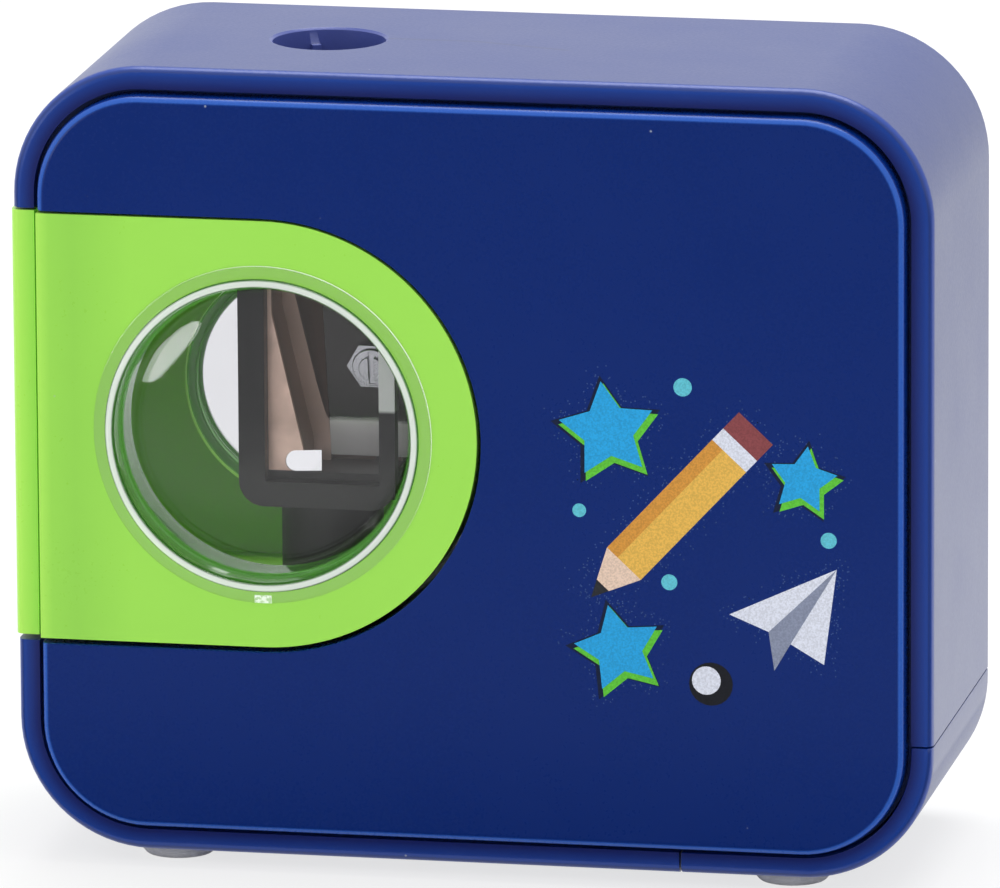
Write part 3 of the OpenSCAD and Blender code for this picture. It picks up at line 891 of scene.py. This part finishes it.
class Maker(Graph):
    """A Geometry Nodes tree with named inputs, which grows one piece."""

    def __init__(self, name: str, values: dict[str, float], mesh: bpy.types.Mesh | None = None) -> None:
        """Makes the tree and its inputs.

        Args:
            name: the piece's name.
            values: the value of each named input. A whole number makes a whole-number input.
            mesh: the mesh that the tree starts from, if it needs one.
        """
        super().__init__(bpy.data.node_groups.new(name, "GeometryNodeTree"))
        self.name, self.values, self.mesh = name, values, mesh
        self.socket("Geometry", "OUTPUT", "NodeSocketGeometry")
        if mesh is not None:
            self.socket("Geometry", "INPUT", "NodeSocketGeometry")
        kinds = {int: "NodeSocketInt", float: "NodeSocketFloat"}
        self.keys = {label: self.socket(label, "INPUT", kinds[type(value)])
                     for label, value in values.items()}

    def socket(self, label: str, side: str, kind: str) -> str:
        """Adds an input or output to the tree and returns its identifier."""
        return self.tree.interface.new_socket(label, in_out=side, socket_type=kind).identifier

    def given(self, label: str) -> Wire:
        """A named input, or with "Geometry" the mesh that the tree starts from."""
        return self.node("NodeGroupInput", out=label)

    def grow(self, geometry: Wire, finish: Finish) -> bpy.types.Object:
        """Ends the tree and turns what it makes into a plain mesh.

        Args:
            geometry: what the tree makes.
            finish: the finish that it gets.

        Returns:
            The piece.
        """
        whole = self.node("GeometryNodeRealizeInstances", {}, {"Geometry": geometry})
        whole = self.node("GeometryNodeSetMaterial", {}, {"Geometry": whole, "Material": finish.material()})
        self.node("NodeGroupOutput", {}, {"Geometry": whole})
        piece = new_object(self.name, self.mesh or bpy.data.meshes.new(self.name))
        modifier = piece.modifiers.new("maker", "NODES")
        modifier.node_group = self.tree
        for label, value in self.values.items():
            modifier[self.keys[label]] = value
        baked(piece)
        piece.data.shade_smooth()
        return piece


@dataclass(frozen=True)
class Coil:
    """A compression spring with closed end turns, which stands on its foot. Lengths are in millimetres."""

    name: str
    foot: tuple[float, float, float]
    radius: float
    height: float
    turns: float
    wire: float = 0.25
    closed: float = 0.75
    steps: int = 40

    def piece(self) -> bpy.types.Object:
        """Grows the spring with Geometry Nodes, along a rising circle.

        Returns:
            The spring.
        """
        g = Maker(self.name, {"Radius": self.radius * MM, "Wire": self.wire * MM, "Height": self.height * MM,
                              "Turns": self.turns})
        radius, wire, height, turns = (g.given(label) for label in g.values)
        count = self.steps * int(self.turns + 1)
        line = g.node("GeometryNodeResampleCurve", {}, {"Curve": g.node("GeometryNodeCurvePrimitiveLine"),
                                                        "Count": count})
        turn = g.node("GeometryNodeInputIndex") / float(count - 1) * turns
        angle = turn * (2 * math.pi)
        rise = ((turn - self.closed) / (turns - 2 * self.closed)).clamped()
        spot = g.node("ShaderNodeCombineXYZ", {}, {0: angle.math("COSINE", angle) * radius,
                                                  1: angle.math("SINE", angle) * radius,
                                                  2: wire + rise * (height - wire * 2.0)})
        path = g.node("GeometryNodeSetPosition", {}, {"Geometry": line, "Position": spot})
        ring = g.node("GeometryNodeCurvePrimitiveCircle", {}, {"Resolution": 12, "Radius": wire})
        tube = g.node("GeometryNodeCurveToMesh", {}, {"Curve": path, "Profile Curve": ring,
                                                      "Fill Caps": True})
        tube = g.node("GeometryNodeTransform", {}, {"Geometry": tube,
                                                    "Translation": tuple(v * MM for v in self.foot)})
        return g.grow(tube, Look.spring)


@dataclass
class Assembly:
    """A sub-assembly: dresses its pieces and reports each one."""

    body: str

    def fit(self, piece: bpy.types.Object, finish: Finish, *nodes: str) -> bpy.types.Object:
        """Gives a new piece its finish and body, and hides the CAD nodes that it stands for.

        Args:
            piece: the new piece.
            finish: its finish.
            nodes: the CAD nodes that it replaces.

        Returns:
            The piece.
        """
        if not piece.data.materials:
            piece.data.materials.append(finish.material())
        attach(piece, self.body)
        if nodes:
            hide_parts(*nodes)
        log.info("%s: %d faces, rides on %s", piece.name, len(piece.data.polygons), self.body)
        return piece

    def refit(self, node: str, name: str, finish: Finish, edge: float = 0.0) -> None:
        """Puts a refined copy in the place of a CAD node.

        Args:
            node: the CAD node's name.
            name: the new piece's name.
            finish: its finish.
            edge: the width of its broken edges in millimetres.
        """
        self.fit(refined(node, name, edge), finish, node)

    def dress(self, finish: Finish, *nodes: str) -> None:
        """Gives CAD nodes a finish.

        Args:
            finish: the finish.
            nodes: the CAD nodes.
        """
        for node in nodes:
            for slot in frame["nodes"][node].material_slots:
                slot.material = finish.material()
            log.info("%s: dressed in %s", node, finish.name)


# ---- case ----


@dataclass
class Case(Assembly):
    """The band, its covers, the screws, the left feet, the guide sleeve and the inner frame.

    The widths of their broken edges are in millimetres.
    """

    edge: float = 0.16
    screw_edge: float = 0.08
    foot_edge: float = 0.15
    bush_edge: float = 0.12

    def build(self) -> None:
        """Makes the case's pieces."""
        self.refit("case_band", "case_band_shell", Look.band, self.edge)
        self.refit("front_cover", "front_panel", Look.panel, self.edge)
        self.refit("rear_cover", "rear_panel", Look.panel, self.edge)
        self.refit("case_screws", "cover_screws", Look.screw, self.screw_edge)
        self.refit("left_feet", "left_foot_pads", Look.foot, self.foot_edge)
        self.refit("pencil_bush", "guide_sleeve", Look.bush, self.bush_edge)
        self.refit("chamber_frame", "inner_frame", Look.frame)


@dataclass
class Door(Assembly):
    """The battery door with its feet, contact bridge and spring. Lengths are in millimetres."""

    edge: float = 0.12
    foot_edge: float = 0.15
    spring: Coil = Coil("bridge_coil", (29.3, -5.9, 5.6), 2.2, 2.6, 3.5)

    def build(self) -> None:
        """Makes the door's pieces."""
        self.refit("battery_door", "battery_cover", Look.band, self.edge)
        self.refit("right_feet", "right_foot_pads", Look.foot, self.foot_edge)
        self.dress(Look.contact, "contact_bridge")
        self.fit(self.spring.piece(), Look.spring, "bridge_spring")


# ---- shavings bin ----


@dataclass
class ShavingsBin(Assembly):
    """The green bin and its two windows. Lengths are in millimetres."""

    face: float = 16.2
    rise: float = 2.2
    crown: float = 0.7
    pane: float = 1.0
    flange: float = 1.9
    edge: float = 0.18
    steps: int = 16

    def dome(self, radius: float, reach: float, inset: float) -> list[tuple[float, float]]:
        """Half section of a domed face.

        Args:
            radius: the radius of the whole pane.
            reach: how far out from its axis the section goes.
            inset: how deep the face lies inside the pane's front.

        Returns:
            Points of radius and distance from the panel's face, from the axis outwards.
        """
        ball = (radius ** 2 + self.rise ** 2) / 2 / self.rise
        places = [reach * k / self.steps for k in range(self.steps + 1)]
        return [(r, self.crown - ball + math.sqrt((ball - inset) ** 2 - r ** 2)) for r in places]

    def window_outline(self, radius: float, collar: float) -> list[tuple[float, float]]:
        """Half section of a window, from the front of its axis round to the back of it.

        Args:
            radius: the radius of its pane.
            collar: how deep its collar reaches behind the panel's face.

        Returns:
            Points of radius and distance from the panel's face.
        """
        front = self.dome(radius, radius - 0.12, 0.0)
        wall = [(radius, front[-1][1] + 0.12), (radius + 0.02, 0.3)]
        bead = [(radius + 0.45 - 0.4 * math.cos(a), 0.4 + 0.38 * math.sin(a))
                for a in (math.pi * k / 10 for k in range(11))]
        rim = radius + self.flange
        flange = [(radius + 0.95, 0.36), (rim - 0.25, 0.34), (rim - 0.06, 0.28), (rim, 0.12), (rim, 0.0),
                  (radius + 0.6, 0.0)]
        back = [(radius + 0.6, 0.15 - collar), (radius + 0.45, -collar), (radius - 0.15, -collar),
                (radius - 0.3, 0.15 - collar)]
        return front + wall + bead + flange + back + self.dome(radius, radius - 0.3, self.pane)[::-1]

    def build(self) -> None:
        """Makes the bin's pieces."""
        self.refit("bin_shell", "shavings_bin", Look.bin, self.edge)
        for side, name, node, radius, collar, finish in (
                (-1, "front_lens", "front_window", 12.9, 5.8, Look.front_pane),
                (1, "rear_lens", "rear_window", 9.9, 3.2, Look.rear_pane)):
            centre = Vector((finish.centre[0], side * self.face, finish.centre[1]))
            self.fit(turned(name, self.window_outline(radius, collar), centre, side), finish, node)


# ---- cutter head ----


@dataclass
class CutterHead(Assembly):
    """The cradle with its block, blade and screw, and the gear under it. Lengths are in millimetres."""

    apex: float = 34.1
    blade_tilt: float = math.radians(13)
    blade_end: float = 3.0
    blade_extra: float = 3.0

    def build(self) -> None:
        """Makes the cutter's pieces, with the blade's lower end drawn down along its slope."""
        self.refit("cutter_cradle", "cutter_carrier", Look.dark, 0.25)
        self.refit("sharpener_block", "cone_block", Look.block, 0.12)
        blade = refined("blade", "cutter_blade", 0.05)
        way = Vector((0.0, -math.sin(self.blade_tilt), math.cos(self.blade_tilt)))
        foot = Vector((0.0, 0.0, self.apex))
        for vertex in blade.data.vertices:
            if (vertex.co / MM - foot).dot(way) < self.blade_end:
                vertex.co -= way * self.blade_extra * MM
        self.fit(blade, Look.blade, "blade")
        self.refit("blade_screw", "blade_fixing", Look.screw, 0.06)
        self.dress(Look.gear, "output_gear")


# ---- drive and battery ----


@dataclass
class Drive(Assembly):
    """The motor, its plate and the start switch with its spring, which ride on the case."""

    spring: Coil = Coil("start_coil", (-15.3, 0.0, 5.6), 2.3, 2.9, 3.5)

    def build(self) -> None:
        """Makes and dresses the drive's pieces."""
        self.dress(Look.frame, "gear_plate")
        self.dress(Look.screw, "plate_screws", "idler_pin")
        self.refit("motor_can", "motor_case", Look.can, 0.5)
        self.refit("motor_endcap", "motor_cover", Look.cap, 0.3)
        self.dress(Look.contact, "motor_terminals", "upper_leaf", "lower_leaf")
        spring = self.fit(self.spring.piece(), Look.spring, "press_spring")
        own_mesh(spring)


@dataclass
class TurningParts(Assembly):
    """Parts that turn or slide on their own body and keep their CAD shape."""

    finish: Finish
    nodes: tuple[str, ...]

    def build(self) -> None:
        """Dresses the nodes."""
        self.dress(self.finish, *self.nodes)


@dataclass
class BatteryBay(Assembly):
    """The battery frame, the two cells and the fixed contacts."""

    spring: Coil = Coil("minus_coil", (29.3, 5.9, 52.7), 2.2, 3.3, 4.0)

    def build(self) -> None:
        """Makes the bay's pieces."""
        self.refit("battery_frame", "cell_holder", Look.frame, 0.1)
        for node, name in (("front_cell", "front_battery"), ("rear_cell", "rear_battery")):
            self.refit(node, name, Look.cell, 0.35)
        self.dress(Look.contact, "plus_terminal", "minus_terminal")
        self.fit(self.spring.piece(), Look.spring, "minus_spring")


# ---- print on the front panel ----


Spot = tuple[float, float]
Outline = list[Spot]


@dataclass
class PanelPrint(Assembly):
    """A plain printed design of stars, a pencil and a folded plane, with a stippled clear margin.

    Lengths are in millimetres. A star is its place in X and Z, its radius and its turn in degrees, and a
    dot is its place and its radius. The pencil's lead, wood, ferrule, cap and end are how far up from its
    tip each of them lies.
    """

    face: float = -16.2
    film: float = 0.012
    sunk: float = 0.01
    dot_height: float = 0.006
    dot_lift: float = 0.002
    slot: str = "blue_panel"
    stars: tuple[tuple[float, ...], ...] = ((12.1, 40.3, 4.3, 98.0), (29.0, 36.6, 3.0, 82.0),
                                            (13.0, 21.2, 3.9, 104.0))
    waist: float = 0.52
    dots: tuple[tuple[float, ...], ...] = ((18.6, 44.3, 0.8), (31.2, 31.4, 0.7), (17.4, 27.2, 0.7),
                                           (9.6, 33.2, 0.6))
    ball: tuple[float, ...] = (20.6, 18.7, 1.25)
    ball_shade: tuple[float, ...] = (21.0, 18.4, 1.9)
    tip: Spot = (10.6, 25.6)
    heading: Spot = (14.0, 15.0)
    half: float = 2.0
    lit_to: float = 0.75
    lead: float = 1.5
    wood: float = 4.2
    ferrule: float = 17.6
    cap: float = 19.0
    end: float = 21.0
    nose: Spot = (31.9, 28.9)
    wing: tuple[Spot, Spot] = ((22.6, 24.6), (26.0, 23.2))
    flap: tuple[Spot, Spot] = ((27.9, 22.2), (30.8, 20.5))
    keel: Spot = (26.5, 19.8)

    def star(self, x: float, z: float, outer: float, turn: float) -> Outline:
        """Corners of a five-pointed star.

        Args:
            x: the X of its middle.
            z: the Z of its middle.
            outer: how far its points reach.
            turn: the direction of its first point in degrees.

        Returns:
            Its ten corners.
        """
        radii = (outer, outer * self.waist)
        return [(x + radii[k % 2] * math.cos(a), z + radii[k % 2] * math.sin(a))
                for k in range(10) for a in [math.radians(turn + 36 * k)]]

    def sky(self, right: float = 0.0, up: float = 0.0, grown: float = 0.0) -> list[Outline]:
        """All the stars, shifted and grown."""
        return [self.star(x + right, z + up, radius + grown, turn) for x, z, radius, turn in self.stars]

    def disc(self, x: float, z: float, radius: float) -> Outline:
        """Corners of a dot."""
        turns = (math.pi * k / 12 for k in range(24))
        return [(x + radius * math.cos(a), z + radius * math.sin(a)) for a in turns]

    def bar(self, start: float, end: float, low: float, high: float) -> Outline:
        """Corners of a strip of the pencil.

        Args:
            start: how far its lower end is from the pencil's tip.
            end: how far its upper end is from the tip.
            low: how far its right side lies to the left of the pencil's axis.
            high: how far its left side does.

        Returns:
            Four corners, from the lower right round to the lower left.
        """
        way = Vector(self.heading).normalized()
        side = Vector((-way.y, way.x))
        return [tuple(Vector(self.tip) + way * along + side * aside)
                for along, aside in ((start, low), (end, low), (end, high), (start, high))]

    def cone(self, reach: float) -> Outline:
        """Corners of the pencil's point.

        Args:
            reach: how far up from the tip it goes.

        Returns:
            The tip and two corners at its wide end.
        """
        half = self.half * reach / self.wood
        corners = self.bar(reach, reach, -half, half)
        return [self.tip, corners[0], corners[3]]

    def layer(self, name: str, ink: Ink, level: int, outlines: list[Outline]) -> None:
        """Prints one colour.

        Args:
            name: the piece's name.
            ink: its ink.
            level: how many inks lie under it.
            outlines: the shapes in that colour, in X and Z.
        """
        bm = bmesh.new()
        for outline in outlines:
            flat_plate(bm, outline, self.face + self.sunk, self.face - self.film * (level + 1))
        bmesh.ops.recalc_face_normals(bm, faces=bm.faces)
        self.fit(from_bmesh(name, bm), ink)

    def margin(self, outlines: list[Outline]) -> None:
        """Scatters a margin of fine pale dots along the outlines of the print.

        Args:
            outlines: the outlines that the dots keep close to, in X and Z.
        """
        mesh = bpy.data.meshes.new("print_margin")
        points, edges = [], []
        for outline in outlines:
            start, count = len(points), len(outline)
            edges += [(start + k, start + (k + 1) % count) for k in range(count)]
            points += [(x * MM, (self.face - self.dot_lift) * MM, z * MM) for x, z in outline]
        mesh.from_pydata(points, edges, [])
        g = Maker("print_margin", {"Spacing": 0.14 * MM, "Spread": 1.15 * MM, "Dot": 0.07 * MM, "Seed": 7},
                  mesh)
        line = g.node("GeometryNodeMeshToCurve", {}, {0: g.given("Geometry")})
        line = g.node("GeometryNodeResampleCurve", {"mode": "LENGTH"}, {"Curve": line,
                                                                        "Length": g.given("Spacing")})
        right, up = (g.node("FunctionNodeRandomValue", {"data_type": "FLOAT"},
                            {"Min_001": -1.0, "Max_001": 1.0, "Seed": g.given("Seed") + shift}, 1)
                     for shift in (0.0, 31.0))
        spread = g.given("Spread")
        away = g.node("ShaderNodeCombineXYZ", {}, {0: right * spread, 2: up * spread})
        line = g.node("GeometryNodeSetPosition", {}, {"Geometry": line, "Offset": away})
        dot = g.node("GeometryNodeMeshCylinder", {}, {"Vertices": 6, "Radius": g.given("Dot"),
                                                      "Depth": self.dot_height * MM})
        dots = g.node("GeometryNodeInstanceOnPoints", {}, {"Points": line, "Instance": dot,
                                                           "Rotation": (math.pi / 2, 0.0, 0.0)})
        ink = Ink("margin film", self.slot, shade(58, 84, 144))
        self.fit(g.grow(dots, ink), ink)

    def build(self) -> None:
        """Prints the design, colour by colour, and then its margin."""
        wing, flap = ([self.nose, *ends] for ends in (self.wing, self.flap))
        keel = [self.nose, self.wing[1], self.keel, self.flap[0]]
        sleeve, cap = (self.bar(low, high, -self.half, self.half)
                       for low, high in ((self.ferrule, self.cap), (self.cap, self.end)))
        lit = self.bar(self.wood, self.ferrule, -self.half, self.lit_to)
        shaded = self.bar(self.wood, self.ferrule, self.lit_to, self.half)
        for name, ink, colour, level, outlines in (
                ("print_dark", "ink charcoal", (20, 34, 66), 0, self.sky(0.0, -0.25, 0.75)),
                ("print_green", "ink green", (96, 200, 58), 1, self.sky(0.25, -0.45, 0.3)),
                ("print_cyan", "ink cyan", (34, 164, 226), 2, self.sky()),
                ("print_yellow", "ink yellow", (232, 184, 84), 0, [lit]),
                ("print_ochre", "ink ochre", (214, 150, 62), 0, [shaded]),
                ("print_wood", "ink wood", (232, 204, 184), 0, [self.cone(self.wood)]),
                ("print_lead", "ink black", (48, 50, 56), 1, [self.cone(self.lead)]),
                ("print_cap", "ink rose", (142, 72, 76), 0, [cap]),
                ("print_white", "ink white", (222, 226, 240), 0, [sleeve, wing, flap]),
                ("print_grey", "ink grey", (138, 146, 170), 1, [keel]),
                ("print_soot", "ink soot", (34, 36, 44), 0, [self.disc(*self.ball_shade)]),
                ("print_pale", "ink pale", (222, 226, 240), 1, [self.disc(*self.ball)]),
                ("print_aqua", "ink aqua", (96, 196, 214), 0, [self.disc(*dot) for dot in self.dots])):
            self.layer(name, Ink(ink, self.slot, shade(*colour)), level, outlines)
        pencil = self.bar(0.0, self.end, -self.half, self.half)
        self.margin(self.sky(grown=0.5) + [pencil, wing, flap])


# ---- studio ----


@dataclass
class Studio:
    """The camera, the floor and the light. Lengths are in metres and angles in degrees."""

    eye: tuple[float, float, float] = (0.2309, -1.16115, 0.3074)
    azimuth: float = 11.27
    elevation: float = 12.96
    roll: float = -0.32
    lens: float = 505.4
    sensor: float = 36.0
    air: float = 0.8
    floor_glow: float = 0.72
    card_half: float = 1.6
    card_near: float = -0.017
    card_far: float = -2.04
    pale_from: float = 62.0
    fade_from: float = 150.0

    def camera(self) -> None:
        """Places the camera."""
        az, el, roll = (math.radians(a) for a in (self.azimuth, self.elevation, self.roll))
        back = Vector((math.sin(az) * math.cos(el), -math.cos(az) * math.cos(el), math.sin(el)))
        right = (-back).cross(Vector((0, 0, 1))).normalized()
        up = right.cross(-back)
        right, up = (right * math.cos(roll) + up * math.sin(roll),
                     up * math.cos(roll) - right * math.sin(roll))
        data = bpy.data.cameras.new("camera")
        data.lens, data.sensor_width, data.sensor_fit = self.lens, self.sensor, "HORIZONTAL"
        data.clip_start, data.clip_end = 0.05, 30.0
        made = bpy.data.objects.new("camera", data)
        bpy.context.scene.collection.objects.link(made)
        made.matrix_world = Matrix((right, up, back)).transposed().to_4x4()
        made.location = self.eye
        bpy.context.scene.camera = made

    def seen(self, g: Graph) -> Wire:
        """Tells which rays show the background to the eye, in a mirror or through a window.

        Args:
            g: the graph of the world or a material.

        Returns:
            1 for those rays and 0 for the others.
        """
        names = ("Is Camera Ray", "Is Glossy Ray", "Is Transmission Ray")
        eye, mirror, window = (g.node("ShaderNodeLightPath", out=name) for name in names)
        return (eye + mirror + window).clamped()

    def world(self) -> None:
        """Even white air, at full white where it is seen."""
        world = bpy.data.worlds.new("air")
        world.use_nodes = True
        bpy.context.scene.world = world
        g = Graph(world.node_tree)
        amount = self.air + (1.0 - self.air) * self.seen(g)
        sky = g.node("ShaderNodeBackground", {}, {"Color": (1.0, 1.0, 1.0), "Strength": amount})
        g.node("ShaderNodeOutputWorld", {}, {"Surface": sky})

    def floor(self) -> None:
        """A pale floor that keeps the shadow."""
        bm = bmesh.new()
        bmesh.ops.create_grid(bm, x_segments=4, y_segments=4, size=4.0)
        floor = from_bmesh("floor", bm)
        g = ShaderGraph("floor white")
        colour = g.blend(self.seen(g), (0.78, 0.78, 0.78), (0.94, 0.94, 0.94))
        matte = g.node("ShaderNodeBsdfDiffuse", {}, {"Color": colour})
        floor.data.materials.append(g.finish(g.mixed(self.seen(g) * self.floor_glow, matte, g.glow(1.0))))

    def lamp(self, name: str, place: tuple[float, float, float], size: tuple[float, float], level: float,
             turn: float = 0.0) -> None:
        """A soft lamp that faces the sharpener.

        Args:
            name: the lamp's name.
            place: where it is.
            size: its width and height.
            level: how bright a white face turned to it gets, where 1 is white.
            turn: how far it is turned about its own middle.
        """
        data = bpy.data.lights.new(name, "AREA")
        data.shape, data.size, data.size_y = "ELLIPSE", *size
        away = Vector(place) - Vector((0, 0, 0.035))
        data.energy = level * math.pi ** 2 * away.length_squared
        made = bpy.data.objects.new(name, data)
        bpy.context.scene.collection.objects.link(made)
        spin = Matrix.Rotation(math.radians(turn), 4, "Z")
        made.matrix_world = away.to_track_quat("Z", "Y").to_matrix().to_4x4() @ spin
        made.location = place

    def card(self, name: str, near: tuple[float, float], far: tuple[float, float],
             shader: Callable[[ShaderGraph], Wire]) -> None:
        """A dark card across the front that only gloss shows, which paints what the front faces reflect.

        Args:
            name: the card's name.
            near: the Y and Z of its first edge.
            far: the Y and Z of its other edge.
            shader: makes the card's shader.
        """
        mesh = bpy.data.meshes.new(name)
        ends = ((-1, near), (-1, far), (1, far), (1, near))
        mesh.from_pydata([(side * self.card_half, *edge) for side, edge in ends], [], [(0, 1, 2, 3)])
        card = new_object(name, mesh)
        g = ShaderGraph(name)
        mesh.materials.append(g.finish(shader(g)))
        card.visible_camera = card.visible_diffuse = card.visible_shadow = card.visible_transmission = False

    def low_card(self, g: ShaderGraph) -> Wire:
        """Painted shadow next to the sharpener, standing in for its own shadow on the floor as the gloss sees
        it; a pale painted reflection a hand's breadth away, and darker again further off.

        Args:
            g: the card's graph.

        Returns:
            The card's shader.
        """
        away = 0.0 - g.axis("Y")
        share = away.above(self.pale_from, 16.0) * (1.0 - away.above(self.fade_from, 260.0) * 0.85)
        return g.mixed(share, g.glow(0.01), g.glow(0.4))

    def build(self) -> None:
        """Sets the scene."""
        bpy.context.scene.view_settings.view_transform = "Standard"
        self.camera()
        self.world()
        self.floor()
        # Cards that only gloss sees: painted shadow and a pale painted reflection on the low card, and a
        # painted dark reflection from the tall card.
        self.card("low card", (self.card_near, 0.001), (self.card_far, 0.001), self.low_card)
        self.card("tall card", (-1.9, 1.6), (-2.05, 0.0), lambda g: g.glow(0.1))
        self.lamp("overhead", (0.05, 0.25, 1.1), (0.9, 0.9), 0.75)
        self.lamp("left", (-0.71, -0.9, 0.15), (0.1, 0.46), 0.05, -40.0)


def main() -> None:
    """Builds and dresses the sharpener."""
    logging.basicConfig(level=logging.INFO, format="%(name)s: %(message)s")
    Studio().build()
    parts = [Case("case"), ShavingsBin("bin"), CutterHead("cutter"), Drive("case"), BatteryBay("case"),
             Door("door"), PanelPrint("case"), TurningParts("plunger", Look.screw, ("thrust_pin",)),
             TurningParts("idler", Look.gear, ("idler_gear",)),
             TurningParts("rotor", Look.brass, ("motor_pinion",)),
             TurningParts("rotor", Look.screw, ("motor_shaft",))]
    for part in parts:
        part.build()


if __name__ == "__main__":
    main()
